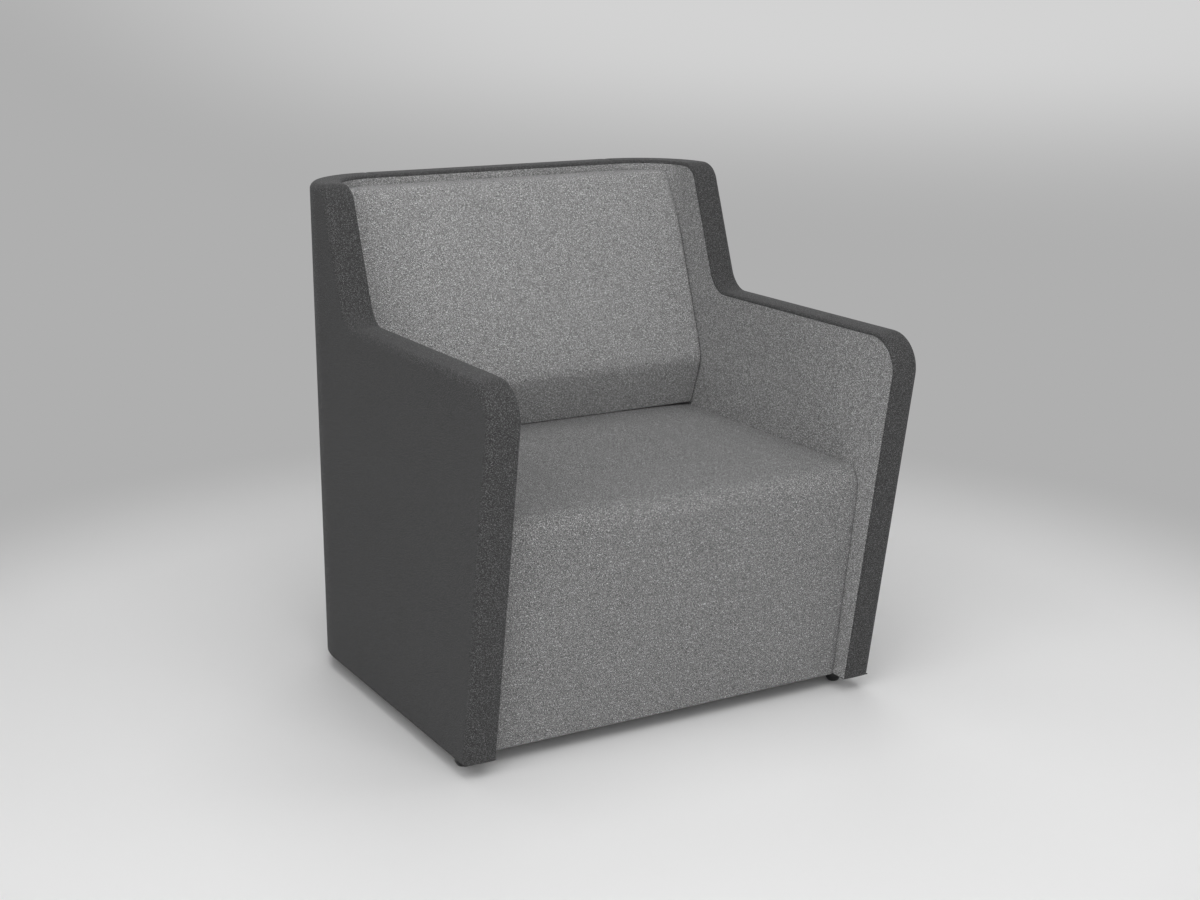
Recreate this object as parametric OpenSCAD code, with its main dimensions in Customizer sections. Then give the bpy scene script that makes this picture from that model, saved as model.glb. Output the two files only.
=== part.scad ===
// Lounge chair with a wrapped, upholstered shell, a waterfall seat, a lumbar back cushion
// and four screw glides. The origin is on the floor, midway across and midway front to back.
// +X is to the right seen from the front, +Y points to the rear and +Z up. Lengths are in mm.

/* [Overall] */
// Width across the arms
overall_w = 780; // [720:5:860]
// Depth from the noses of the arms to the rear face
overall_d = 782; // [740:2:860]
// Height of the shell, from its lower edge to the rim of the back
shell_h = 840; // [780:5:900]
// Height of the arms above the shell's lower edge
arm_h = 617.5; // [560:0.5:640]
// Gap between the floor and the shell, filled by the glides
foot_h = 28; // [24:1:36]

/* [Shell] */
// Whole thickness of the upholstered wall
wall_t = 53; // [48:1:60]
// Lean of the front edges in degrees, top forwards
front_lean = 9.9; // [4:0.1:14]
// Lean of the front edges of the back in degrees, top rearwards
wing_lean = 20; // [10:1:26]
// Level rim between the front edge of the back and the start of the rear corner
wing_flat = 30; // [24:1:60]
// Radius of the arm's nose
nose_r = 58; // [40:1:70]
// Radius where the arm turns up into the back
step_r = 50; // [30:1:70]
// Radius at the top of the back's front edge
wing_r = 40; // [25:1:55]
// Outer radius of the rear corners in plan
corner_r = 146; // [120:1:170]
// Radius of the roll along the outer edge of the rim
roll_r = 13; // [8:1:16]
// Radius of the inner edge along the fronts, where the two fabrics meet
lip_r = 2.5; // [1.5:0.5:4]
// Width of the softer inner edge along the level rims
lip_w = 8; // [4:0.5:12]
// Depth of the seam between the two fabrics below the level rims
seam_drop = 6; // [4:0.5:7]

/* [Wall layers] */
// Thickness of the foam-backed lining
lining_t = 8; // [6:1:10]
// Thickness of the plywood in the walls
panel_t = 18; // [15:1:18]
// Thickness of the foam-backed outer cover
cover_t = 10; // [8:1:12]

/* [Seat] */
// Height of the seat's edges above the shell's lower edge
seat_h = 386; // [350:2:420]
// Thickness of the seat foam at its edges
seat_t = 98; // [80:1:110]
// Rise of the seat's crown
seat_crown = 7; // [0.5:0.5:14]
// Radius of the waterfall front
waterfall_r = 33; // [20:1:45]
// Radius of the seat's side and rear upper edges
seat_edge_r = 9; // [5:1:14]
// Distance of the apron behind the shell's front edge, at the bottom
apron_setback = 36; // [24:1:50]
// Lean of the apron in degrees, top forwards
apron_lean = 8.4; // [3:0.1:11]
// Thickness of the padded apron
apron_t = 14; // [8:1:20]
// Thickness of the board behind the apron
front_board_t = 12; // [9:1:18]

/* [Back cushion] */
// Height of the lumbar ridge above the shell's lower edge
lumbar_h = 485; // [450:1:520]
// Distance from the chair's rear face forward to the lumbar ridge
lumbar_d = 219; // [200:1:250]
// Thickness of the cushion at its top edge, which sets the lean of the face above the ridge
cushion_top_t = 51.5; // [40:0.5:80]
// Lean of the face below the ridge in degrees, foot rearwards
lower_lean = 21; // [10:1:24]
// Softness of the ridge: half the height over which it bends
ridge_soft = 12; // [4:1:24]
// Distance of the cushion's top below the rim
cushion_drop = 18; // [6:1:40]
// Radius of the cushion's top front edge
cushion_top_r = 7; // [4:1:34]
// Radius of the cushion's upright front edges
cushion_edge_r = 3.5; // [2:0.5:16]
// Rise of the crown on the cushion's face
cushion_crown = 8; // [1:0.5:14]
// Thickness of the cushion's back board
back_board_t = 9; // [6:1:12]
// Height of the back board's top edge below the cushion's top
board_drop = 36; // [30:1:60]

/* [Timber] */
// Thickness of the seat rails
rail_t = 25; // [20:1:32]
// Height of the seat rails
rail_h = 88; // [70:1:110]
// Height of the base rails that carry the glides
base_h = 45; // [40:1:60]
// Thickness of the cross rails at the bottom
cross_t = 34; // [25:1:40]
// Length of the short legs of the seat corner blocks
block_leg = 60; // [40:1:80]
// Height of the ledger behind the seat
ledger_h = 44; // [36:1:60]

/* [Webbing] */
// Width of a strap
strap_w = 50; // [40:1:55]
// Thickness of a strap
strap_t = 2.5; // [1.5:0.5:3.5]
// Number of straps from front to rear
long_count = 6; // [4:1:7]
// Number of straps from side to side
cross_count = 5; // [4:1:6]

/* [Fixings] */
// Radius of the frame bolts
bolt_r = 4; // [3:0.5:5]
// Bolts in each side rail, and in the ledger
bolt_count = 3; // [2:1:4]
// Distance of the end bolts of a side rail from its corner blocks
bolt_edge = 20; // [12:1:40]
// Across the flats of the bolt heads
bolt_flats = 13; // [12:1:17]
// Height of the bolt heads
bolt_head_h = 5.3; // [4:0.1:6.5]
// Radius of the washers
washer_r = 9; // [8:0.5:12]
// Thickness of the washers
washer_t = 1.6; // [1:0.1:2.5]
// Radius of the flange of a frame nut
nut_flange_r = 11; // [9:0.5:13]
// Thickness of the flange of a frame nut
nut_flange_t = 1.5; // [1:0.1:2.5]
// Radius of the barrel of a frame nut
nut_barrel_r = 5.5; // [5.2:0.1:6.5]
// Length of the barrel of a frame nut
nut_barrel_l = 11; // [8:1:14]
// Width of the hook-and-loop strips that hold the back cushion
strip_w = 50; // [25:1:60]
// Thickness of the closed hook-and-loop strips
strip_t = 3; // [2:0.5:4]

/* [Glides] */
// Radius of a glide's pad
pad_r = 13.3; // [12:0.1:16]
// Bevel around the pad's lower edge
pad_bevel = 4; // [1:0.5:5]
// Height of the pad's bevel
pad_bevel_h = 7; // [2:0.5:9]
// Radius of the stud
stud_r = 4; // [3:0.5:5]
// Radius of the stud's head inside the pad
head_r = 8; // [7:0.5:9]
// Thickness of the stud's head
head_t = 5; // [3:0.5:6]
// Plastic below the stud's head
pad_floor = 7; // [5:0.5:8]
// How far a glide screws out
glide_travel = 10; // [5:1:12]
// Radius of the insert nut's body
insert_r = 6; // [5.5:0.5:7]
// Length of the insert nut's body
insert_l = 20; // [15:1:25]
// Radius of the insert nut's flange
insert_flange_r = 9; // [8:0.5:11]
// Thickness of the insert nut's flange
insert_flange_t = 1.5; // [1:0.1:2]
// Distance of the front glides behind the shell's front edge
glide_inset = 67; // [40:1:90]
// Thickness of the dust cover
dust_t = 1.2; // [0.8:0.1:2]

/* [Hidden] */
$fn = 48;

// Clearance between a soft or curved piece and its neighbour
fit_gap = 0.3;
// Clearance between the outer cover and the foam under it
cover_gap = 0.6;
// Radial clearance of a bolt in its hole
hole_gap = 0.5;
// Radial clearance of a screw thread's outside in its nut, and of the stud in its pad
thread_gap = 0.05;
// Length of a bolt past its nut
bolt_spare = 1.5;
// Depth of the pocket in the foam behind a frame nut
nut_pocket = 4;
// Length of a stud that stays above its insert nut when the glide is screwed out
stud_spare = 3;
// Bevel at a stud's end
stud_bevel = 1;
// Length by which a cutting shape passes the face that it cuts
overrun = 1;
// Rise of the small ledge in the cushion's rear where the back board ends
board_ledge = 2;
// Roll along the cushion's lower edges
low_roll = 3;
// Roll along the cushion's rear and side upper edges
top_side_roll = 2;
// Bulge of the seat's front in plan
front_bulge = 2;
// Roll along the apron's lower edge
apron_roll = 2;
// Spread of the outer cover's foot lines behind the front edge
leg_inset = 22;
leg_pitch = 6;
// Distance behind a cushion's front edge where its side starts to follow the lining
side_lead = 1;
// Share of the front's bulge that stays at a cushion's upper and lower ends
bulge_share = 0.25;
// Where the crown's rings lie, from the seat's edge to its middle
crown_shares = [0.86, 0.68, 0.46, 0.2];
// Where the rings of the back cushion's upper face lie, from the ridge to the back board's top
upper_shares = [0.3, 0.55, 0.8];
// Where the hook-and-loop strips lie, from the back board's foot to its top
strip_shares = [0.2, 0.8];
// How flat the crown is: the power of the share in its fall towards the edge
crown_power = 3;
// How much wider the crown's rings are behind the seat's middle, as a share
rear_wide_share = 1.14;
// Half of a full turn in degrees
half_turn = 180;
// Where the rear glides lie round the rear corners, in degrees from the side
rear_glide_turn = 45;

// Steps along each curve
nose_steps = 10;
step_steps = 8;
wing_steps = 7;
corner_steps = 13;
roll_steps = 5;
lip_steps = 3;
face_steps = 6;
edge_steps = 4;
side_steps = 8;
top_steps = 5;
ridge_steps = 6;

half_w = overall_w / 2;
inner_x = half_w - wall_t;
rear_y = overall_d / 2;
inner_y = rear_y - wall_t;
corner_x = half_w - corner_r;
corner_y = rear_y - corner_r;
inner_r = corner_r - wall_t;
low_z = foot_h;
top_z = low_z + shell_h;
arm_z = low_z + arm_h;
core_n = lining_t + panel_t;
cover_n = wall_t - cover_t;

// Side view: points are [rearwards, upwards], and angles turn from rearwards to upwards
function dir(a) = [cos(a), sin(a)];

front_foot_y = (arm_h - nose_r) * tan(front_lean) - nose_r * (1 / cos(front_lean) - 1) - rear_y;
function front_y(z) = front_foot_y - (z - low_z) * tan(front_lean);
function wing_y(z) = corner_y - wing_flat - (top_z - z) * tan(wing_lean);

wing_nose_r = min(wing_r, (wing_flat - fit_gap) * tan(90 - (90 - wing_lean) / 2));
nose_c = [front_y(arm_z - nose_r) + nose_r / cos(front_lean), arm_z - nose_r];
step_c = [wing_y(arm_z + step_r) - step_r / cos(wing_lean), arm_z + step_r];
wing_c = [wing_y(top_z - wing_nose_r) + wing_nose_r / cos(wing_lean), top_z - wing_nose_r];

// A stretch of the side outline, as [point, angle of its outward normal]; side is 1 or -1
// where the outline is convex or concave
function turn(centre, radius, from, to, steps, side) =
    [for (i = [0:steps]) let (a = from + (to - from) * i / steps) [centre + side * radius * dir(a), a]];

// The side outline from the foot of the front edge to the start of the rear corner
function outline(foot_z) = concat(
    [[[front_y(foot_z), foot_z], half_turn + front_lean]],
    turn(nose_c, nose_r, half_turn + front_lean, 90, nose_steps, 1),
    turn(step_c, step_r, 90, half_turn - wing_lean, step_steps, -1),
    turn(wing_c, wing_nose_r, half_turn - wing_lean, 90, wing_steps, 1),
    [[[corner_y, top_z], 90]]
);

// The direction into the wall from the outline's point k; the first one lies level at the foot
function inward(k, a) = k == 0 ? [1 / cos(front_lean), 0] : -dir(a);

// How far the outline faces up, from 0 along the fronts to 1 along the level rims
function rise_share(a) = pow(max(0, sin(a)), 2);
// Depth of the seam between the two fabrics, and width of the inner edge above it
function seam_depth(a) = lip_r + (seam_drop - lip_r) * rise_share(a);
function edge_width(a) = lip_r + (lip_w - lip_r) * rise_share(a);

// The outline drawn in by a depth, closed down the start of the rear corner
function inset_outline(depth, foot_z) = let (o = outline(foot_z)) concat(
    [for (k = [0:len(o) - 1]) o[k][0] + depth * inward(k, o[k][1])],
    [[corner_y, foot_z]]
);
// The outline drawn in to the seam between the fabrics
function seam_outline(foot_z) = let (o = outline(foot_z)) concat(
    [for (k = [0:len(o) - 1]) o[k][0] + (seam_depth(o[k][1]) + fit_gap) * inward(k, o[k][1])],
    [[corner_y, foot_z]]
);

// Stations along the rim of the right-hand wall and round its rear corner:
// [point on the inner face at the rim, outward direction, direction into the wall, foot point,
// angle of the rim's normal in the side view]
function stations(foot_z) = let (o = outline(foot_z)) concat(
    [for (k = [0:len(o) - 1]) let (p = o[k][0], v = inward(k, o[k][1]))
        [[inner_x, p.x, p.y], [1, 0, 0], [0, v.x, v.y],
         [inner_x, max(p.x, front_y(foot_z) + leg_inset + k * leg_pitch), foot_z], o[k][1]]],
    [for (i = [1:corner_steps]) let (a = 90 * i / corner_steps, n = [cos(a), sin(a), 0],
            b = [corner_x, corner_y, 0] + inner_r * n)
        [b + [0, 0, top_z], n, [0, 0, -1], b + [0, 0, foot_z], 90]]
);

// Section of the outer cover as [distance out from the inner face, depth below the rim]
function lip_points(turned) = [for (i = [0:lip_steps]) let (a = 90 * i / lip_steps)
    [edge_width(turned) * (1 - cos(a)), seam_depth(turned) * (1 - sin(a))]];
roll_points = [for (i = [0:roll_steps]) let (a = 90 * i / roll_steps)
    [wall_t - roll_r + roll_r * sin(a), roll_r - roll_r * cos(a)]];
function under_points(turned) = [[cover_n, cover_t], [lining_t, cover_t], [lining_t, seam_depth(turned)]];

// How far three points are from lying on one line
function spread(p, q, r) = norm(cross(q - p, r - p));

// A closed skin over rings of points; its two ends are flat. Each four-sided patch is cut along
// the diagonal that leaves the broader triangles.
module skin(rings) {
    n = len(rings[0]);
    m = len(rings);
    polyhedron(
        points = [for (r = rings) each r],
        faces = concat(
            [[for (j = [0:n - 1]) j]],
            [[for (j = [n - 1:-1:0]) (m - 1) * n + j]],
            [for (i = [0:m - 2], j = [0:n - 1]) let (k = (j + 1) % n,
                    a = i * n + j, b = i * n + k, c = (i + 1) * n + k, d = (i + 1) * n + j,
                    first = min(spread(rings[i][j], rings[i + 1][k], rings[i][k]),
                        spread(rings[i][j], rings[i + 1][j], rings[i + 1][k])),
                    second = min(spread(rings[i][j], rings[i + 1][j], rings[i][k]),
                        spread(rings[i][k], rings[i + 1][j], rings[i + 1][k])))
                each first >= second ? [[a, c, b], [a, d, c]] : [[a, d, b], [b, d, c]]]
        ),
        convexity = 6
    );
}

// Places a profile drawn in the side view, and extrudes it along X
module along_x(from, to) {
    translate([from, 0, 0]) rotate([90, 0, 90]) linear_extrude(to - from) children();
}

module left_of() {
    mirror([1, 0, 0]) children();
}

// A layer of the right-hand wall between two distances from the inner face
module side_layer(from, to, depth, foot_z) {
    along_x(inner_x + from, inner_x + to) polygon(inset_outline(depth, foot_z));
}

// The same layer round the rear corner
module corner_layer(from, to, low, high) {
    translate([corner_x, corner_y, 0])
        rotate_extrude(angle = 90)
            translate([inner_r + from, low]) square([to - from, high - low]);
}

// The same layer across the back
module back_layer(from, to, low, high) {
    translate([-corner_x, inner_y + from, low]) cube([2 * corner_x, to - from, high - low]);
}

// Seat and apron lines
apron_foot_y = front_foot_y + apron_setback;
function apron_y(z) = apron_foot_y - (z - low_z) * tan(apron_lean);
function frame_y(z) = apron_y(z) + apron_t + front_board_t + 2 * fit_gap;
seat_z = low_z + seat_h;
seat_low_z = seat_z - seat_t;
waterfall_c = [apron_y(seat_z - waterfall_r) + waterfall_r / cos(apron_lean), seat_z - waterfall_r];

// Seat frame levels, from the foam's underside down
cross_z = seat_low_z - fit_gap - strap_t;
long_z = cross_z - strap_t;
rail_low_z = long_z - rail_h;
rail_x = inner_x - fit_gap - rail_t;

// Back cushion lines
lumbar_y = rear_y - lumbar_d;
lumbar_z = low_z + lumbar_h;
cushion_z = top_z - cushion_drop;
board_y = inner_y - fit_gap - strip_t - back_board_t;
board_z = cushion_z - board_drop;
function bent(h) = sqrt(h * h + ridge_soft * ridge_soft) - ridge_soft;
// Slope of the face above the ridge: it reaches the cushion's thickness at its top edge
back_slope = (inner_y - cushion_top_t - lumbar_y) / bent(cushion_z - lumbar_z);
function face_y(z) = let (h = z - lumbar_z) lumbar_y + (h > 0 ? back_slope : tan(lower_lean)) * bent(h);

// Half-width left by the linings at a distance to the rear, drawn in by e
soft_r = inner_r - fit_gap;
function room_x(y, e) = let (r = soft_r - e)
    corner_x + (y <= corner_y ? r : sqrt(max(0, r * r - (y - corner_y) * (y - corner_y))));

// Right half of a cushion's plan, from the middle of its front to its rear corner
function half_plan(front, e, edge, crown, rear) =
    let (y = front + edge, side = room_x(y, e), r = soft_r - e,
        a0 = asin(max(0, y + side_lead - corner_y) / r),
        a1 = asin(min(1, (rear - corner_y) / r)))
    concat(
        [for (i = [0:face_steps]) let (s = i / face_steps) [(side - edge) * s, front - crown * (1 - s * s)]],
        [for (i = [1:edge_steps]) let (a = 90 * i / edge_steps)
            [side - edge + edge * sin(a), front + edge * (1 - cos(a))]],
        [for (i = [0:side_steps]) let (a = a0 + (a1 - a0) * i / side_steps)
            [corner_x + r * cos(a), corner_y + r * sin(a)]]
    );

// The whole plan at a height, as points in space
function plan(half, z) = concat(
    [for (p = half) [p.x, p.y, z]],
    [for (i = [len(half) - 1:-1:1]) [-half[i].x, half[i].y, z]]
);

// A ring drawn towards a line across by a share, and more so behind that line
function drawn_in(ring, centre, share, rear_share, z) =
    [for (p = ring) [p.x * share, centre + (p.y - centre) * share * (p.y > centre ? rear_share : 1), z]];

// Seat cushion: flat underside, leaning front, waterfall, rolled sides and a crowned top
function seat_ring(z, e) =
    plan(half_plan(apron_y(z), e, seat_edge_r, front_bulge, inner_y), z);
function waterfall_ring(i) =
    let (a = half_turn + apron_lean + (-90 - apron_lean) * i / top_steps,
        p = waterfall_c + waterfall_r * dir(a),
        low = waterfall_c.y + waterfall_r * sin(half_turn + apron_lean),
        t = (p.y - low) / (seat_z - low))
    plan(half_plan(p.x, seat_edge_r * (1 - sqrt(max(0, 1 - t * t))), seat_edge_r,
        front_bulge * (1 - t * (1 - bulge_share)), inner_y), p.y);
// The crown reaches under the back cushion, which stands on it
seat_mid_y = (apron_y(seat_z) + face_y(seat_z)) / 2;
function crown_z(s) = seat_z + seat_crown * (1 - pow(s, crown_power));
cushion_low_z = crown_z((face_y(seat_z) - seat_mid_y) / ((inner_y - seat_mid_y) * rear_wide_share)) + fit_gap;
seat_rings = concat(
    [seat_ring(seat_low_z, 0)],
    [for (i = [0:top_steps]) waterfall_ring(i)],
    [for (s = crown_shares)
        drawn_in(waterfall_ring(top_steps), seat_mid_y, s, rear_wide_share, crown_z(s))]
);

// Back cushion: rolled foot, lumbar ridge, leaning face and rounded top
function cushion_ring(z, shift, e, rear) =
    plan(half_plan(face_y(z) + shift, e, cushion_edge_r, cushion_crown * crown_share(z), rear), z);
function crown_share(z) =
    bulge_share + (1 - bulge_share)
        * sin(half_turn * max(0, min(1, (z - cushion_low_z) / (cushion_z - cushion_low_z))));
ridge_z = [for (i = [0:ridge_steps]) lumbar_z + 2 * ridge_soft * (2 * i / ridge_steps - 1)];
upper_z = [for (s = upper_shares) ridge_z[ridge_steps] + (board_z - ridge_z[ridge_steps]) * s];
cushion_rear_y = board_y - fit_gap;
back_rings = concat(
    [for (i = [0:edge_steps]) let (a = 90 * i / edge_steps)
        cushion_ring(cushion_low_z + low_roll * (1 - cos(a)), low_roll * (1 - sin(a)), low_roll * (1 - sin(a)),
            cushion_rear_y)],
    [for (z = concat(ridge_z, upper_z, [board_z])) cushion_ring(z, 0, 0, cushion_rear_y)],
    [cushion_ring(board_z + board_ledge, 0, 0, inner_y)],
    [for (i = [0:top_steps]) let (a = 90 * i / top_steps)
        cushion_ring(cushion_z - cushion_top_r + cushion_top_r * sin(a), cushion_top_r * (1 - cos(a)),
            top_side_roll * (1 - cos(a)), inner_y)]
);

// Apron: a thin padded panel with a rolled lower edge
function apron_half(front, depth) = let (side = inner_x - fit_gap) concat(
    [for (i = [0:face_steps]) let (s = i / face_steps)
        [(side - seat_edge_r) * s, front - front_bulge * (1 - s * s)]],
    [for (i = [1:edge_steps]) let (a = 90 * i / edge_steps)
        [side - seat_edge_r + seat_edge_r * sin(a), front + seat_edge_r * (1 - cos(a))]],
    [[side, front + depth]]
);
apron_top_z = seat_low_z - fit_gap;
apron_rings = concat(
    [for (i = [0:lip_steps]) let (a = 90 * i / lip_steps, z = low_z + apron_roll * (1 - cos(a)))
        plan(apron_half(apron_y(z) + apron_roll * (1 - sin(a)), apron_t - apron_roll * (1 - sin(a))), z)],
    [plan(apron_half(apron_y(apron_top_z), apron_t), apron_top_z)]
);

// Places of the frame bolts: along each side rail, and along the ledger
bolt_z = rail_low_z + rail_h / 2;
ledger_z = seat_low_z - fit_gap - ledger_h / 2;
stack_l = rail_t + lining_t + panel_t;
rail_front_y = frame_y(rail_low_z) + rail_t;
function bolt_share(j) = (j + 0.5) / bolt_count;
// The end bolts of a side rail stand clear of the blocks in the frame's corners
first_bolt_y = rail_front_y + block_leg + bolt_edge;
last_bolt_y = corner_y - block_leg - bolt_edge;
module at_side_bolts() {
    for (j = [0:bolt_count - 1])
        translate([rail_x, first_bolt_y + (last_bolt_y - first_bolt_y) * j / (bolt_count - 1), bolt_z])
            rotate([0, 90, 0]) children();
}
module at_back_bolts() {
    for (j = [0:bolt_count - 1])
        translate([corner_x * (2 * bolt_share(j) - 1), inner_y - fit_gap - rail_t, ledger_z])
            rotate([-90, 0, 0]) children();
}
module at_all_bolts() {
    at_side_bolts() children();
    left_of() at_side_bolts() children();
    at_back_bolts() children();
}

// Shapes that cut the bolt holes and the nut pockets
module bolt_hole() {
    translate([0, 0, -overrun]) cylinder(h = stack_l + overrun, r = bolt_r + hole_gap);
}
module nut_hole() {
    translate([0, 0, stack_l - nut_barrel_l - hole_gap])
        cylinder(h = nut_barrel_l + hole_gap + overrun, r = nut_barrel_r + thread_gap);
}
module nut_pocket_cut() {
    translate([0, 0, stack_l - overrun]) cylinder(h = nut_pocket + overrun, r = nut_flange_r + hole_gap);
}

// Places of the glides
glide_n = (lining_t + cover_n) / 2;
front_glide = [inner_x + glide_n, front_foot_y + glide_inset, 0];
rear_glide = [corner_x, corner_y, 0] + (inner_r + glide_n) * [cos(rear_glide_turn), sin(rear_glide_turn), 0];
stud_top_z = low_z + insert_l + glide_travel + stud_spare;

// Shape that cuts the seat for an insert nut and the way for its stud
module insert_cut() {
    translate([0, 0, low_z - overrun]) cylinder(h = base_h + 2 * overrun, r = stud_r + hole_gap);
    translate([0, 0, low_z - overrun]) cylinder(h = insert_l + overrun, r = insert_r + thread_gap);
    translate([0, 0, low_z - overrun])
        cylinder(h = insert_flange_t + overrun, r = insert_flange_r + thread_gap);
}

// Outer cover with its rolled rim, in one piece from the front edge round to the rear seam
module cover_side() {
    skin([for (s = stations(low_z)) concat(
        [for (q = concat(lip_points(s[4]), roll_points)) s[0] + q.x * s[1] + q.y * s[2]],
        [s[3] + wall_t * s[1], s[3] + cover_n * s[1]],
        [for (q = under_points(s[4])) s[0] + q.x * s[1] + q.y * s[2]]
    )]);
}
module outer_cover_right() {
    color("#48484a") cover_side();
}
module outer_cover_left() {
    color("#48484a") left_of() cover_side();
}
module outer_cover_back() {
    color("#454547")
        along_x(-corner_x, corner_x)
            polygon(concat(
                [for (q = concat(lip_points(90), roll_points)) [inner_y + q.x, top_z - q.y]],
                [[inner_y + wall_t, low_z], [inner_y + cover_n, low_z]],
                [for (q = under_points(90)) [inner_y + q.x, top_z - q.y]]
            ));
}

// Lining: the light fabric on the inner faces, tucked under the lip of the outer cover
module lining_side() {
    difference() {
        union() {
            along_x(inner_x, inner_x + lining_t - fit_gap) polygon(seam_outline(low_z));
            corner_layer(0, lining_t - fit_gap, low_z, top_z - seam_drop - fit_gap);
        }
        at_side_bolts() bolt_hole();
    }
}
module lining_right() {
    color("#7c7c7e") lining_side();
}
module lining_left() {
    color("#7c7c7e") left_of() lining_side();
}
module lining_back() {
    color("#7c7c7e")
        difference() {
            back_layer(0, lining_t - fit_gap, low_z, top_z - seam_drop - fit_gap);
            at_back_bolts() bolt_hole();
        }
}

// Plywood side panel, standing on the base rail
module panel_side() {
    difference() {
        side_layer(lining_t, core_n - fit_gap, cover_t + fit_gap, low_z + base_h);
        at_side_bolts() {
            bolt_hole();
            nut_hole();
        }
    }
}
module side_panel_right() {
    color("#c9a777") panel_side();
}
module side_panel_left() {
    color("#c9a777") left_of() panel_side();
}

// Foam on the outside of the plywood, from the front round the rear corner
module foam_side() {
    difference() {
        union() {
            side_layer(core_n, cover_n - cover_gap, cover_t + fit_gap, low_z + base_h);
            corner_layer(core_n, cover_n - cover_gap, low_z + base_h, top_z - cover_t - fit_gap);
        }
        at_side_bolts() nut_pocket_cut();
    }
}
module side_foam_right() {
    color("#e5dfc9") foam_side();
}
module side_foam_left() {
    color("#e5dfc9") left_of() foam_side();
}

// Back panel, its foam, and the bent formers of the rear corners
module back_panel() {
    color("#c9a777")
        difference() {
            back_layer(lining_t, core_n - fit_gap, low_z + base_h, top_z - cover_t - fit_gap);
            at_back_bolts() {
                bolt_hole();
                nut_hole();
            }
        }
}
module back_foam() {
    color("#e5dfc9")
        difference() {
            back_layer(core_n, cover_n - cover_gap, low_z + base_h, top_z - cover_t - fit_gap);
            at_back_bolts() nut_pocket_cut();
        }
}
module corner_former_right() {
    color("#b98f5e")
        corner_layer(lining_t, core_n - fit_gap, low_z + base_h, top_z - cover_t - fit_gap);
}
module corner_former_left() {
    left_of() corner_former_right();
}

// Base rails and rear corner blocks, which carry the walls and hold the insert nuts
module base_rail_right() {
    color("#d2b48c")
        difference() {
            along_x(inner_x + lining_t, inner_x + cover_n - cover_gap)
                intersection() {
                    polygon(inset_outline(cover_t + fit_gap, low_z));
                    translate([-rear_y, low_z]) square([overall_d, base_h]);
                }
            translate(front_glide) insert_cut();
        }
}
module base_rail_left() {
    left_of() base_rail_right();
}
module corner_block_right() {
    color("#d2b48c")
        difference() {
            corner_layer(lining_t, cover_n - cover_gap, low_z, low_z + base_h);
            translate(rear_glide) insert_cut();
        }
}
module corner_block_left() {
    left_of() corner_block_right();
}
module base_rail_rear() {
    color("#d2b48c") back_layer(lining_t, cover_n - cover_gap, low_z, low_z + base_h);
}

// A rail that leans with the apron, between two heights
module leaning_rail(low, high, thick) {
    along_x(-(inner_x - fit_gap), inner_x - fit_gap)
        polygon([
            [frame_y(low), low], [frame_y(low) + thick, low],
            [frame_y(high) + thick, high], [frame_y(high), high]
        ]);
}
module base_rail_front() {
    color("#d2b48c") leaning_rail(low_z + dust_t, low_z + base_h, cross_t);
}
module seat_rail_front() {
    color("#d2b48c") leaning_rail(rail_low_z, long_z, rail_t);
}

// Side rails of the seat frame, bolted through the linings to the side panels
module seat_rail_right() {
    color("#d2b48c")
        difference() {
            along_x(rail_x, rail_x + rail_t)
                polygon([
                    [rail_front_y, rail_low_z], [corner_y, rail_low_z], [corner_y, cross_z],
                    [frame_y(cross_z) + rail_t, cross_z]
                ]);
            at_side_bolts() bolt_hole();
        }
}
module seat_rail_left() {
    left_of() seat_rail_right();
}
module seat_rail_rear() {
    half = room_x(corner_y + rail_t, 0) - fit_gap;
    color("#d2b48c")
        translate([-half, corner_y, rail_low_z]) cube([2 * half, rail_t, rail_h]);
}

// Ledger on the back panel, under the rear of the seat foam
module seat_ledger() {
    color("#d2b48c")
        difference() {
            translate([-corner_x, inner_y - fit_gap - rail_t, seat_low_z - fit_gap - ledger_h])
                cube([2 * corner_x, rail_t, ledger_h]);
            at_back_bolts() bolt_hole();
        }
}

// Triangular blocks glued into the corners of the seat frame
module corner_block(depth) {
    translate([rail_x, 0, rail_low_z])
        linear_extrude(depth)
            polygon([[0, 0], [-block_leg, 0], [0, block_leg]]);
}
module seat_corner_blocks() {
    block_h = rail_h / 2;
    color("#c29a68") {
        for (side = [0, 1])
            mirror([side, 0, 0]) {
                translate([0, rail_front_y, 0]) corner_block(block_h);
                translate([0, corner_y, 0]) mirror([0, 1, 0]) corner_block(block_h);
            }
    }
}

// Elastic webbing over the seat frame
module seat_straps_long() {
    start = frame_y(long_z);
    pitch = 2 * rail_x / long_count;
    color("#2d2b29")
        for (i = [0:long_count - 1])
            translate([(i + 0.5) * pitch - rail_x - strap_w / 2, start, long_z])
                cube([strap_w, corner_y + rail_t - start, strap_t]);
}
module seat_straps_cross() {
    half = inner_x - fit_gap;
    start = frame_y(cross_z) + rail_t;
    pitch = (corner_y - start) / cross_count;
    color("#2d2b29")
        for (i = [0:cross_count - 1])
            translate([-half, start + (i + 0.5) * pitch - strap_w / 2, cross_z])
                cube([2 * half, strap_w, strap_t]);
}

// Seat foam and cover, and the apron below its waterfall
module seat_cushion() {
    color("#858587") skin(seat_rings);
}
module front_apron() {
    color("#7e7e80") skin(apron_rings);
}
module front_board() {
    color("#c9a777")
        along_x(-(inner_x - fit_gap), inner_x - fit_gap)
            polygon([for (q = [
                [0, low_z], [front_board_t, low_z],
                [front_board_t, apron_top_z], [0, apron_top_z]
            ]) [apron_y(q.y) + apron_t + fit_gap + q.x, q.y]]);
}

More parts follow.
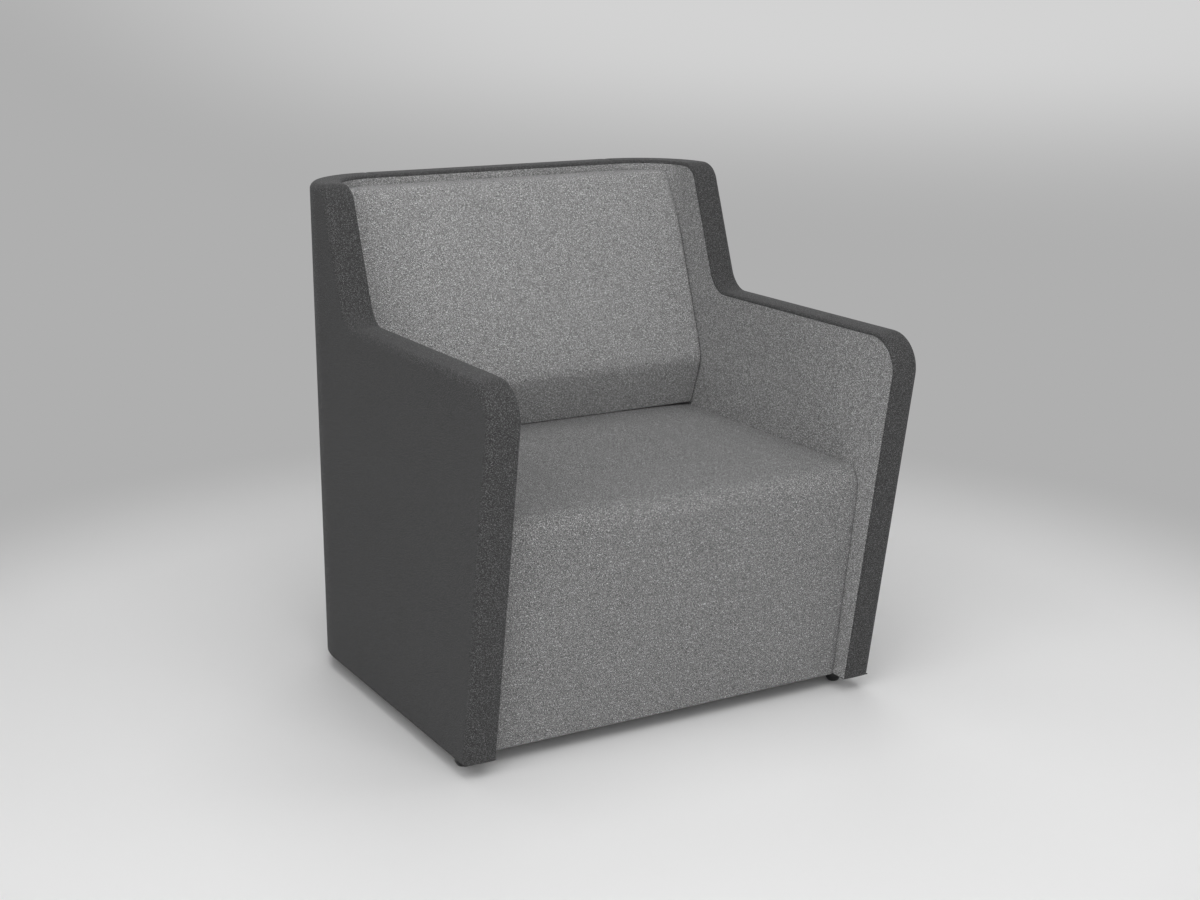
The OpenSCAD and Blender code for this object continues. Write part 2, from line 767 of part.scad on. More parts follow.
// Back cushion on its board, held by hook-and-loop strips
module back_cushion() {
    color("#8a8a8c") skin(back_rings);
}
module back_board() {
    color("#c9a777")
        translate([-corner_x, board_y, cushion_low_z])
            cube([2 * corner_x, back_board_t, board_z - cushion_low_z]);
}
function strip_z(share) = cushion_low_z + (board_z - cushion_low_z) * share - strip_w / 2;
module back_strips() {
    color("#1f1f20")
        for (s = strip_shares)
            translate([-corner_x, board_y + back_board_t, strip_z(s)]) cube([2 * corner_x, strip_t, strip_w]);
}

// Cambric dust cover under the base
module dust_cover() {
    front = frame_y(low_z);
    half = concat(
        [[inner_x - fit_gap, front]],
        [for (i = [0:side_steps]) [corner_x, corner_y] + soft_r * dir(90 * i / side_steps)]
    );
    color("#232324")
        translate([0, 0, low_z])
            linear_extrude(dust_t)
                polygon(concat(half, [for (i = [len(half) - 1:-1:0]) [-half[i].x, half[i].y]]));
}

// Bolts, washers and nuts of the frame
module frame_bolts() {
    color("#8d9093")
        at_all_bolts() {
            translate([0, 0, -washer_t])
                cylinder(h = washer_t + stack_l + nut_flange_t + bolt_spare, r = bolt_r);
            translate([0, 0, -washer_t - bolt_head_h])
                cylinder(h = bolt_head_h, r = bolt_flats / sqrt(3), $fn = 6);
        }
}
module frame_washers() {
    color("#a3a6a8")
        at_all_bolts()
            translate([0, 0, -washer_t])
                difference() {
                    cylinder(h = washer_t, r = washer_r);
                    translate([0, 0, -overrun]) cylinder(h = washer_t + 2 * overrun, r = bolt_r + thread_gap);
                }
}
module frame_nuts() {
    color("#a3a6a8")
        at_all_bolts()
            difference() {
                union() {
                    translate([0, 0, stack_l]) cylinder(h = nut_flange_t, r = nut_flange_r);
                    translate([0, 0, stack_l - nut_barrel_l])
                        cylinder(h = nut_barrel_l + nut_flange_t, r = nut_barrel_r);
                }
                translate([0, 0, stack_l - nut_barrel_l - overrun])
                    cylinder(h = nut_barrel_l + nut_flange_t + 2 * overrun, r = bolt_r + thread_gap);
            }
}

// Insert nuts for the glides
module insert_nut() {
    difference() {
        union() {
            translate([0, 0, low_z]) cylinder(h = insert_l, r = insert_r);
            translate([0, 0, low_z]) cylinder(h = insert_flange_t, r = insert_flange_r);
        }
        translate([0, 0, low_z - overrun]) cylinder(h = insert_l + 2 * overrun, r = stud_r + thread_gap);
    }
}
module insert_nuts() {
    color("#b08d57")
        for (side = [0, 1], place = [front_glide, rear_glide])
            mirror([side, 0, 0]) translate(place) insert_nut();
}

// A glide: a round pad that snaps over the head of a screw stud
pocket_low = pad_floor;
pocket_high = pad_floor + head_t + 2 * thread_gap;
module glide_stud() {
    color("#9a9da0")
        rotate_extrude()
            polygon([
                [0, pocket_low + thread_gap], [head_r, pocket_low + thread_gap],
                [head_r, pocket_high - thread_gap], [stud_r, pocket_high - thread_gap],
                [stud_r, stud_top_z - stud_bevel], [stud_r - stud_bevel, stud_top_z], [0, stud_top_z]
            ]);
}
module glide_pad() {
    color("#161617")
        rotate_extrude()
            polygon([
                [0, 0], [pad_r - pad_bevel, 0], [pad_r, pad_bevel_h], [pad_r, low_z - fit_gap],
                [stud_r + thread_gap, low_z - fit_gap], [stud_r + thread_gap, pocket_high],
                [head_r + thread_gap, pocket_high], [head_r + thread_gap, pocket_low], [0, pocket_low]
            ]);
}
module glide_stud_front_right() {
    translate(front_glide) glide_stud();
}
module glide_stud_front_left() {
    left_of() glide_stud_front_right();
}
module glide_stud_rear_right() {
    translate(rear_glide) glide_stud();
}
module glide_stud_rear_left() {
    left_of() glide_stud_rear_right();
}
module glide_pad_front_right() {
    translate(front_glide) glide_pad();
}
module glide_pad_front_left() {
    left_of() glide_pad_front_right();
}
module glide_pad_rear_right() {
    translate(rear_glide) glide_pad();
}
module glide_pad_rear_left() {
    left_of() glide_pad_rear_right();
}

outer_cover_left();
outer_cover_right();
outer_cover_back();
lining_left();
lining_right();
lining_back();
side_panel_left();
side_panel_right();
side_foam_left();
side_foam_right();
back_panel();
back_foam();
corner_former_left();
corner_former_right();
base_rail_left();
base_rail_right();
base_rail_front();
base_rail_rear();
corner_block_left();
corner_block_right();
seat_rail_left();
seat_rail_right();
seat_rail_front();
seat_rail_rear();
seat_ledger();
seat_corner_blocks();
seat_straps_long();
seat_straps_cross();
seat_cushion();
front_board();
front_apron();
back_board();
back_strips();
back_cushion();
dust_cover();
frame_bolts();
frame_washers();
frame_nuts();
insert_nuts();
glide_stud_front_left();
glide_stud_front_right();
glide_stud_rear_left();
glide_stud_rear_right();
glide_pad_front_left();
glide_pad_front_right();
glide_pad_rear_left();
glide_pad_rear_right();
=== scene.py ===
"""Two-tone upholstered lounge chair: visible surfaces, materials, studio floor, lights and camera.

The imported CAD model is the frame. Every soft solid of it is replaced here by a finer closed form
in the same place: the outer covers, the linings, the seat with its waterfall apron, the back
cushion and the dust cover. All lengths are metres in the shared frame: +Z up, +Y to the rear.
"""

import logging
import math
from dataclasses import dataclass
from enum import Enum

import bmesh
import bpy
import numpy as np
from mathutils import Matrix, Vector

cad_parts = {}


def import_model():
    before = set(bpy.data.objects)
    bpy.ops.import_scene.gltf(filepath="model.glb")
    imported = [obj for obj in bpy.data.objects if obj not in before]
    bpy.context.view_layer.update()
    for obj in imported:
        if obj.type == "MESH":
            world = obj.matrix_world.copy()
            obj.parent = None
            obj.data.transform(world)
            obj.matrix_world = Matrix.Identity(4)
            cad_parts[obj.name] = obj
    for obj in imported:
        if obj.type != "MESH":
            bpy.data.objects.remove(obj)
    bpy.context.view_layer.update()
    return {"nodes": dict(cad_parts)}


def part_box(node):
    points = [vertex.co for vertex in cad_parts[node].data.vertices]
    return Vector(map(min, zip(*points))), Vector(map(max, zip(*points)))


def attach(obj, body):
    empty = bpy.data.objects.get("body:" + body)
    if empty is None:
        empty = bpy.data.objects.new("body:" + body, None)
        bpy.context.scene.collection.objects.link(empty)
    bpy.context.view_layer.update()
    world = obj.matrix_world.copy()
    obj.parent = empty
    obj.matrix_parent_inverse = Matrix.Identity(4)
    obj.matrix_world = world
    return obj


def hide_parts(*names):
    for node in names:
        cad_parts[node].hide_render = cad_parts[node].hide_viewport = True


logging.basicConfig(level=logging.INFO, format="%(name)s: %(message)s")
LOG = logging.getLogger("lounge_chair")

Pair = tuple[float, float]
Triple = tuple[float, float, float]
Socket = bpy.types.NodeSocket
Material = bpy.types.Material
Piece = bpy.types.Object

# Pinch of a sewn seam: its depth, how far it reaches, and the stations' distances from it, in metres.
SEAM_DEPTH = 0.0016
SEAM_REACH = 0.0016
SEAM_STEPS = np.array([0.0, 0.0007, 0.0015, 0.003, 0.005, 0.008])
# The seat's rings, as shares of its edge: close together where the crown bends most.
SEAT_SHARES = (0.996, 0.988, 0.975, 0.955, 0.93, 0.9, 0.86, 0.8, 0.73, 0.65, 0.56, 0.47, 0.38, 0.29, 0.2, 0.12, 0.05)
# The dust cover's rings, as shares of its outline.
COVER_SHARES = np.array([1.0, 0.985, 0.95, 0.90, 0.82, 0.72, 0.60, 0.46, 0.32, 0.18, 0.06])
# Steps from a wall's rim to its foot, along the level arm, and points round a hem's section.
LEG_STEPS = 14
ARM_STEPS = 22
OBLONG_POINTS = 16


class Side(Enum):
    """Sides of the chair as seen from the front."""

    LEFT = -1
    RIGHT = 1

    @property
    def word(self) -> str:
        """The side's name in node names."""
        return self.name.lower()


@dataclass(frozen=True)
class Dimensions:
    """Sizes of the chair in metres and leans in radians, as in the CAD source."""

    half_w: float = 0.390
    half_d: float = 0.391
    top_z: float = 0.868
    arm_z: float = 0.6455
    foot_z: float = 0.028
    wall: float = 0.053
    lining: float = 0.008
    cover: float = 0.010
    gap: float = 0.0003
    front_lean: float = math.radians(9.9)
    wing_lean: float = math.radians(20.0)
    wing_flat: float = 0.030
    nose_r: float = 0.058
    step_r: float = 0.050
    wing_r: float = 0.040
    corner_r: float = 0.146
    roll_r: float = 0.013
    lip_r: float = 0.0025
    lip_w: float = 0.008
    seam_drop: float = 0.006
    seat_z: float = 0.414
    seat_t: float = 0.098
    seat_crown: float = 0.007
    waterfall_r: float = 0.033
    seat_roll: float = 0.003
    seat_corner_r: float = 0.004
    apron_corner_r: float = 0.0025
    corner_spread: float = 4.0
    front_puff: float = 0.004
    crown_power: float = 3.0
    rear_wide: float = 1.14
    front_bulge: float = 0.002
    apron_setback: float = 0.036
    apron_lean: float = math.radians(8.4)
    apron_t: float = 0.014
    lumbar_z: float = 0.513
    lumbar_y: float = 0.172
    cushion_top_t: float = 0.0515
    lower_lean: float = math.radians(21.0)
    ridge_soft: float = 0.012
    cushion_drop: float = 0.018
    cushion_top_r: float = 0.007
    cushion_edge_r: float = 0.003
    cushion_crown: float = 0.008
    cushion_rear_y: float = 0.3254
    board_z: float = 0.814
    pad_r: float = 0.0133
    pad_top_z: float = 0.0277
    hem_t: float = 0.0014

    @property
    def inner_x(self) -> float:
        """Half the width between the linings."""
        return self.half_w - self.wall

    @property
    def inner_y(self) -> float:
        """The plane of the back's lining."""
        return self.half_d - self.wall

    @property
    def corner_x(self) -> float:
        """Where the back's straight part ends and its rear corner starts."""
        return self.half_w - self.corner_r

    @property
    def corner_y(self) -> float:
        """Where the arm's straight part ends and the rear corner starts."""
        return self.half_d - self.corner_r

    @property
    def inner_r(self) -> float:
        """Inner radius of the rear corner."""
        return self.corner_r - self.wall

    @property
    def foot_y(self) -> float:
        """The front edge's foot."""
        rise = self.arm_z - self.nose_r - self.foot_z
        return rise * math.tan(self.front_lean) - self.nose_r * (1 / math.cos(self.front_lean) - 1) - self.half_d

    def front_y(self, z: float) -> float:
        """Front edge's place at a height.

        Args:
            z: Height in metres.

        Returns:
            The front edge's Y in metres.
        """
        return self.foot_y - (z - self.foot_z) * math.tan(self.front_lean)

    def wing_y(self, z: float) -> float:
        """Front edge of the raised back at a height.

        Args:
            z: Height in metres.

        Returns:
            The edge's Y in metres.
        """
        return self.corner_y - self.wing_flat - (self.top_z - z) * math.tan(self.wing_lean)

    def apron_y(self, z: float) -> float:
        """Front face of the apron at a height, its padding a little proud of the plain solid.

        Args:
            z: Height in metres.

        Returns:
            The face's Y in metres.
        """
        return self.foot_y + self.apron_setback - self.front_puff - (z - self.foot_z) * math.tan(self.apron_lean)

    def face_y(self, z: float) -> float:
        """Front face of the back cushion at a height.

        Args:
            z: Height in metres.

        Returns:
            The face's Y in metres.
        """
        h = z - self.lumbar_z
        rise = self.inner_y - self.cushion_top_t - self.lumbar_y
        high = self.top_z - self.cushion_drop - self.lumbar_z
        slope = rise / self.bent(high) if h > 0 else math.tan(self.lower_lean)
        return self.lumbar_y + slope * self.bent(h)

    def bent(self, h: float) -> float:
        """Distance from the ridge, rounded off close to it as a hyperbola.

        Args:
            h: Height above the ridge.

        Returns:
            The rounded distance.
        """
        return math.hypot(h, self.ridge_soft) - self.ridge_soft

    def crown_z(self, share: np.ndarray | float) -> np.ndarray | float:
        """Height of the seat's crowned top, from its middle (0) to its edge (1)."""
        return self.seat_z + self.seat_crown * (1 - share**self.crown_power)

    @property
    def seat_mid_y(self) -> float:
        """The line across the seat where its crown is highest."""
        return (self.apron_y(self.seat_z) + self.face_y(self.seat_z)) / 2

    @property
    def cushion_low_z(self) -> float:
        """Underside of the back cushion, which stands on the seat's crown."""
        reach = (self.inner_y - self.seat_mid_y) * self.rear_wide
        return self.crown_z((self.face_y(self.seat_z) - self.seat_mid_y) / reach) + self.gap

    def rise_share(self, angle: np.ndarray) -> np.ndarray:
        """How far the wall's rim faces up: 0 along the fronts, 1 along the level rims.

        Args:
            angle: Angles of the rim's normal in the side view.

        Returns:
            The shares.
        """
        return np.maximum(0.0, np.sin(angle)) ** 2

    def seam_depth(self, angle: np.ndarray) -> np.ndarray:
        """Depth of the seam between the two fabrics below the rim."""
        return self.lip_r + (self.seam_drop - self.lip_r) * self.rise_share(angle)

    def edge_width(self, angle: np.ndarray) -> np.ndarray:
        """Width of the soft inner edge above the seam."""
        return self.lip_r + (self.lip_w - self.lip_r) * self.rise_share(angle)

    def room_x(self, y: float, e: float) -> float:
        """Half the width that the linings leave for a cushion.

        Args:
            y: Distance to the rear in metres.
            e: How far the cushion is drawn in.

        Returns:
            The half-width in metres.
        """
        r = self.inner_r - self.gap - e
        if y <= self.corner_y:
            return self.corner_x + r
        return self.corner_x + math.sqrt(max(0.0, r * r - (y - self.corner_y) ** 2))


DIM = Dimensions()


@dataclass(frozen=True)
class FabricFinish:
    """Look of a felted melange fabric.

    Attributes:
        name: Material name.
        base: sRGB hex colour of the ground.
        light: sRGB hex colour of the pale fibres.
        dark: sRGB hex colour of the dark fibres.
        grain: Grain size in metres.
        contrast: Share of the fibre colours in the mix.
        bump: Height of the nap in metres.
        sheen: Weight of the sheen at grazing angles.
    """

    name: str
    base: str
    light: str
    dark: str
    grain: float
    contrast: float
    bump: float
    sheen: float


@dataclass(frozen=True)
class HardFinish:
    """Look of a hard material.

    Attributes:
        name: Material name.
        base: sRGB hex colour.
        second: sRGB hex colour of the variation.
        roughness: Surface roughness.
        metallic: Metallic weight.
        stretch: Scale of the variation along each axis, per metre.
        bump: Height of the relief in metres.
        coat: Weight of the clear coat.
    """

    name: str
    base: str
    second: str
    roughness: float
    metallic: float
    stretch: Triple
    bump: float
    coat: float = 0.0


# Wool felt, milled and dyed through: a dark even nap with few paler fibres. Fibre bundles of 1.2 mm.
SHELL = FabricFinish("charcoal_felt", "#373737", "#7a7a7b", "#212121", 0.0012, 0.75, 0.00006, 0.10)
# Wool blend woven from light and dark fibres: salt-and-pepper flecks as wide as a yarn, 1.1 mm.
LINING = FabricFinish("grey_melange", "#797979", "#dedede", "#4a4a4a", 0.0011, 1.0, 0.00008, 0.10)
# The same cloth painted a shade darker: painted shade for the seat and apron, which the arms and back shade.
SEAT = FabricFinish("grey_melange_seat_painted_shade", "#6a6a6a", "#c6c6c6", "#414141", 0.0011, 1.0, 0.00008, 0.10)
# Spun polypropylene cambric: near black, matt, with a pressed fibre pattern of about 1 mm.
UNDER_CLOTH = FabricFinish("black_cambric", "#202021", "#38383a", "#121213", 0.0011, 0.5, 0.00008, 0.1)
# Sawn polyurethane foam: cream, with open cells drawn at 2.2 mm, coarser than real so that they show.
FOAM = FabricFinish("cut_foam", "#e4dcc0", "#f2ecd6", "#c9bf9e", 0.0022, 0.5, 0.0003, 0.0)
# Rubber and polypropylene webbing: dark brown, with cords 1.5 mm apart.
WEBBING = FabricFinish("elastic_webbing", "#2e2c2b", "#4c4845", "#171615", 0.0015, 0.6, 0.0003, 0.1)
# Rotary-cut birch plywood, sanded: warm and pale, with veneer layers about 6 mm apart in its edges.
PLYWOOD = HardFinish("birch_plywood", "#cfae7d", "#b8935f", 0.62, 0.0, (9.0, 9.0, 160.0), 0.0001)
# Planed beech, unfinished: pinkish brown with fine streaks about 6 mm apart.
BEECH = HardFinish("planed_beech", "#cda67a", "#b88c5e", 0.55, 0.0, (14.0, 14.0, 180.0), 0.0001)
# Bright zinc plate on steel: cool grey metal with a cloudy bloom of 4 to 5 mm.
ZINC = HardFinish("zinc_plate", "#b9bcc0", "#8f9398", 0.32, 1.0, (220.0, 220.0, 220.0), 0.00002)
# Yellow passivated zinc: the same bloom under a straw-coloured film.
INSERT = HardFinish("passivated_zinc", "#c2a86a", "#a08850", 0.35, 1.0, (220.0, 220.0, 220.0), 0.00002)
# Moulded polyamide: black with a soft gloss and a faint mould texture of 2.4 mm.
GLIDE = HardFinish("black_moulded_plastic", "#121213", "#1b1b1c", 0.28, 0.0, (420.0, 420.0, 420.0), 0.00001, 0.25)
# Galvanised flat wire: dull silver, with drawing marks of 2 mm.
STAPLE = HardFinish("staple_wire", "#9a9da1", "#75787c", 0.35, 1.0, (500.0, 500.0, 500.0), 0.00001)


def srgb(colour: str) -> tuple[float, float, float, float]:
    """Converts a hex colour to linear RGBA.

    Args:
        colour: Colour such as "#808080".

    Returns:
        Linear red, green, blue and an alpha of 1.
    """
    channels = [int(colour[i : i + 2], 16) / 255 for i in (1, 3, 5)]
    linear = [c / 12.92 if c <= 0.04045 else ((c + 0.055) / 1.055) ** 2.4 for c in channels]
    return (*linear, 1.0)


class NodeGraph:
    """A material's node tree under construction."""

    def __init__(self, name: str) -> None:
        """Makes a material with a Principled shader and its output.

        Args:
            name: Material name.
        """
        self.material = bpy.data.materials.new(name)
        self.material.use_nodes = True
        self.tree = self.material.node_tree
        self.tree.nodes.clear()
        self.output = self.tree.nodes.new("ShaderNodeOutputMaterial")
        self.shader = self.tree.nodes.new("ShaderNodeBsdfPrincipled")
        self.tree.links.new(self.shader.outputs["BSDF"], self.output.inputs["Surface"])

    def add(self, kind: str, inputs: dict[str | int, object], out: str | int = 0, **settings: object) -> Socket:
        """Adds a node with its settings, input values and links.

        Args:
            kind: Node type without its "ShaderNode" prefix.
            inputs: Numbers, tuples or output sockets by input name or place.
            out: Name or place of the wanted output.
            settings: The node's own properties.

        Returns:
            The wanted output socket.
        """
        node = self.tree.nodes.new("ShaderNode" + kind)
        for name, value in settings.items():
            setattr(node, name, value)
        for key, value in inputs.items():
            self.put(node.inputs[key], value)
        return node.outputs[out]

    def put(self, socket: Socket, value: object) -> None:
        """Links an output socket to an input, or sets the input's value.

        Args:
            socket: The input.
            value: An output socket, a number or a tuple.
        """
        if isinstance(value, Socket):
            self.tree.links.new(value, socket)
        else:
            socket.default_value = value

    def ramp(self, low: float, high: float, value: Socket, to: Pair = (0.0, 1.0), kind: str = "SMOOTHSTEP") -> Socket:
        """Maps a value from one range to another.

        Args:
            low: Start of the input range.
            high: End of the input range.
            value: The input.
            to: Start and end of the output range.
            kind: Course between them.

        Returns:
            The mapped value.
        """
        inputs = {"Value": value, "From Min": low, "From Max": high, "To Min": to[0], "To Max": to[1]}
        return self.add("MapRange", inputs, interpolation_type=kind)

    def noise(self, place: Socket, scale: float, detail: float, roughness: float = 0.5) -> Socket:
        """Adds a noise pattern.

        Args:
            place: Coordinates.
            scale: Cycles per metre.
            detail: Number of finer octaves.
            roughness: Weight of the finer octaves.

        Returns:
            The noise's value.
        """
        return self.add("TexNoise", {"Vector": place, "Scale": scale, "Detail": detail, "Roughness": roughness})

    def mix(self, share: Socket, first: object, second: object) -> Socket:
        """Mixes two colours.

        Args:
            share: Share of the second.
            first: sRGB hex colour or output socket.
            second: The same.

        Returns:
            The mixed colour.
        """
        pair = [srgb(colour) if isinstance(colour, str) else colour for colour in (first, second)]
        return self.add("Mix", {0: share, 6: pair[0], 7: pair[1]}, 2, data_type="RGBA")

    def dress(self, **inputs: object) -> None:
        """Sets or links the shader's inputs; underscores stand for spaces in their names.

        Args:
            inputs: Values or output sockets.
        """
        for name, value in inputs.items():
            self.put(self.shader.inputs[name.replace("_", " ")], value)


def fabric_material(finish: FabricFinish) -> Material:
    """Felted melange fabric: pale and dark flecks over a ground, with nap and a faint sheen.

    Args:
        finish: The fabric's look.

    Returns:
        The material.
    """
    graph = NodeGraph(finish.name)
    rate = 1 / finish.grain
    place = graph.add("TexCoord", {}, "Object")
    tilted = graph.add("Mapping", {"Vector": place, "Rotation": (0.4, 0.9, 0.3)})
    fleck = graph.noise(place, rate, 1.0, 0.4)
    slub = graph.noise(tilted, rate * 0.8, 1.0, 0.4)
    fibre = graph.noise(tilted, rate * 2.6, 2.0, 0.6)
    cloud = graph.noise(place, 9.0, 2.0)
    pale = graph.ramp(0.50, 0.72, fleck, (0.0, finish.contrast))
    deep = graph.ramp(0.52, 0.30, slub, (0.0, finish.contrast))
    wear = graph.ramp(0.3, 0.7, cloud, (0.0, 0.08))
    ground = graph.mix(wear, finish.base, finish.dark)
    colour = graph.mix(pale, graph.mix(deep, ground, finish.dark), finish.light)
    rough = graph.ramp(0.3, 0.7, fibre, (0.84, 0.96), "LINEAR")
    nap = graph.add("Math", {0: fleck, 1: fibre}, operation="ADD")
    normal = graph.add("Bump", {"Height": nap, "Distance": finish.bump * 3, "Strength": 0.55})
    graph.dress(Base_Color=colour, Roughness=rough, Normal=normal, Sheen_Weight=finish.sheen, Sheen_Roughness=0.55)
    graph.dress(Sheen_Tint=srgb("#d8d8da"), Specular_IOR_Level=0.18)
    return graph.material


def hard_material(finish: HardFinish) -> Material:
    """Wood, metal or plastic with grain or fine relief.

    Args:
        finish: The surface's look.

    Returns:
        The material.
    """
    graph = NodeGraph(finish.name)
    place = graph.add("TexCoord", {}, "Object")
    drawn = graph.add("Mapping", {"Vector": place, "Scale": finish.stretch})
    streak = graph.noise(drawn, 1.0, 4.0, 0.6)
    speck = graph.noise(place, 900.0, 2.0)
    colour = graph.mix(graph.ramp(0.3, 0.7, streak), finish.base, finish.second)
    worn = (finish.roughness * 0.85, min(1.0, finish.roughness * 1.2))
    rough = graph.ramp(0.3, 0.7, speck, worn, "LINEAR")
    relief = graph.add("Math", {0: streak, 1: speck}, operation="ADD")
    normal = graph.add("Bump", {"Height": relief, "Distance": finish.bump * 2.5, "Strength": 0.4})
    graph.dress(Base_Color=colour, Roughness=rough, Normal=normal, Metallic=finish.metallic)
    graph.dress(Coat_Weight=finish.coat, Coat_Roughness=0.12)
    return graph.material


# Ranges of the studio paper, in metres: the heights between which it turns black, the heights and the
# distances towards the right rear between which painted light brightens its tone, and the distances
# from the chair between which that tone takes over from the lit paper.
PAPER_END = (2.2, 2.6)
TONE_RISE = (0.02, 0.85)
TONE_SIDE = (4.2, 5.8)
TONE_FAR = (1.05, 1.80)


def studio_paper() -> Material:
    """Matt pale studio paper under the chair, which passes into a plain toned backdrop.

    Seen by the camera or in a reflection, the paper far from the chair has a plain tone, and painted
    light brightens it upwards on one side, so no light has to reach it. The high wall sends no light back.

    Returns:
        The material.
    """
    graph = NodeGraph("studio_paper")
    place = graph.add("TexCoord", {}, "Object")
    level = graph.add("VectorMath", {0: place, 1: (1.0, 1.0, 0.0)}, operation="MULTIPLY")
    radius = graph.add("VectorMath", {0: level}, "Value", operation="LENGTH")
    height = graph.add("SeparateXYZ", {0: place}, "Z")
    towards = graph.add("VectorMath", {0: place, 1: (0.707, 0.707, 0.0)}, "Value", operation="DOT_PRODUCT")
    paper = graph.mix(graph.ramp(*PAPER_END, height), "#efefef", "#000000")
    graph.dress(Base_Color=paper, Roughness=0.8, Specular_IOR_Level=0.15)
    # Painted light: the backdrop's tone brightens upwards and towards the right rear, where light would fall.
    rise = graph.ramp(*TONE_RISE, height)
    side = graph.ramp(*TONE_SIDE, towards)
    bright = graph.add("Math", {0: rise, 1: side}, operation="MULTIPLY")
    glow = graph.add("Emission", {"Color": graph.mix(bright, "#afafaf", "#d3d3d3"), "Strength": 1.0})
    camera = graph.add("LightPath", {}, "Is Camera Ray")
    glossy = graph.add("LightPath", {}, "Is Glossy Ray")
    through = graph.add("LightPath", {}, "Is Transmission Ray")
    mirrored_too = graph.add("Math", {0: camera, 1: glossy}, operation="ADD")
    seen = graph.add("Math", {0: mirrored_too, 1: through}, operation="ADD", use_clamp=True)
    far = graph.ramp(*TONE_FAR, radius)
    shown = graph.add("Math", {0: seen, 1: far}, operation="MULTIPLY")
    mixed = graph.add("MixShader", {0: shown, 1: graph.shader.outputs["BSDF"], 2: glow})
    graph.put(graph.output.inputs["Surface"], mixed)
    return graph.material


def linked(name: str, data: bpy.types.ID) -> Piece:
    """Makes an object and links it to the scene.

    Args:
        name: Object name.
        data: Its mesh, light or camera.

    Returns:
        The object.
    """
    obj = bpy.data.objects.new(name, data)
    bpy.context.scene.collection.objects.link(obj)
    return obj


def loft_faces(rings: int, points: int, capped: bool) -> list[list[int]]:
    """Faces of a closed loft.

    Args:
        rings: Number of rings.
        points: Points in each ring.
        capped: Whether to close both ends.

    Returns:
        The faces as lists of vertex numbers.
    """
    i, j = np.meshgrid(np.arange(rings - 1), np.arange(points), indexing="ij")
    k = (j + 1) % points
    quads = np.stack([i * points + j, i * points + k, (i + 1) * points + k, (i + 1) * points + j], axis=-1)
    faces = quads.reshape(-1, 4).tolist()
    if capped:
        faces.append(list(range(points))[::-1])
        faces.append(list(range((rings - 1) * points, rings * points)))
    return faces


def closed_loft(name: str, *lofts: np.ndarray, sharp: float = 40.0) -> Piece:
    """Makes a smooth-shaded object from one or more closed lofts.

    Args:
        name: Object name.
        lofts: Arrays of shape (rings, points, 3).
        sharp: Angle in degrees above which an edge stays sharp.

    Returns:
        The object, linked to the scene.
    """
    faces, start = [], 0
    for rings in lofts:
        faces += [[v + start for v in face] for face in loft_faces(len(rings), rings.shape[1], True)]
        start += rings.shape[0] * rings.shape[1]
    mesh = bpy.data.meshes.new(name)
    mesh.from_pydata(np.vstack([rings.reshape(-1, 3) for rings in lofts]), [], faces)
    work = bmesh.new()
    work.from_mesh(mesh)
    bmesh.ops.remove_doubles(work, verts=work.verts, dist=1e-6)
    bmesh.ops.dissolve_degenerate(work, edges=work.edges, dist=1e-7)
    bmesh.ops.recalc_face_normals(work, faces=work.faces)
    if work.calc_volume(signed=True) < 0:
        bmesh.ops.reverse_faces(work, faces=work.faces)
    work.to_mesh(mesh)
    work.free()
    mesh.shade_smooth()
    mesh.set_sharp_from_angle(angle=math.radians(sharp))
    return linked(name, mesh)


def turned(profile: np.ndarray, steps: int) -> np.ndarray:
    """Rings of a profile turned about Z.

    Each point is the profile's distance from the axis times the cosine and sine of the turn.

    Args:
        profile: Distances from the axis and heights, shape (rings, 2).
        steps: Points in each ring.

    Returns:
        Array of shape (rings, steps, 3).
    """
    turns = np.linspace(0, 2 * math.pi, steps + 1)[:-1]
    rings = np.zeros((len(profile), steps, 3))
    rings[..., :2] = np.column_stack([np.cos(turns), np.sin(turns)]) * profile[:, :1, None]
    rings[..., 2] = profile[:, 1:]
    return rings


def oblong(half: float, thick: float) -> tuple[np.ndarray, np.ndarray]:
    """A flat section with half-round ends.

    Args:
        half: Half its width.
        thick: Half its thickness.

    Returns:
        Places across and along its thickness, from its middle.
    """
    turns = np.linspace(0, 2 * math.pi, OBLONG_POINTS + 1)[:-1]
    return np.sign(np.cos(turns)) * (half - thick) + thick * np.cos(turns), thick * np.sin(turns)


def legs(top: np.ndarray, foot: np.ndarray) -> np.ndarray:
    """Straight rows of points from the last point of each ring to the wall's foot.

    Args:
        top: Rings of the wall's top.
        foot: Points at its foot.

    Returns:
        Array of shape (stations, steps, 3), without the rows' starts.
    """
    shares = np.linspace(0, 1, LEG_STEPS + 1)[1:, None]
    return top[:, -1:, :] * (1 - shares) + foot[:, None, :] * shares


@dataclass(frozen=True)
class Rim:
    """Stations along the top edge of a wall.

    Attributes:
        base: Points on the inner face at the rim, shape (n, 3).
        out: Outward directions, from the inner to the outer face.
        down: Directions into the wall, away from the rim.
        foot: Points on the inner face at the wall's lower edge.
        pinch: How far the fabric is drawn in at each station.
        angle: Angle of the rim's normal in the side view.
    """

    base: np.ndarray
    out: np.ndarray
    down: np.ndarray
    foot: np.ndarray
    pinch: np.ndarray
    angle: np.ndarray

    def at(self, across: np.ndarray, depth: np.ndarray) -> np.ndarray:
        """Points at distances outwards and depths below the rim.

        Args:
            across: Distances from the inner face, shape (stations, points).
            depth: Depths below the rim, of the same shape.

        Returns:
            Array of shape (stations, points, 3).
        """
        outward = across[..., None] * self.out[:, None, :]
        return self.base[:, None, :] + outward + depth[..., None] * self.down[:, None, :]


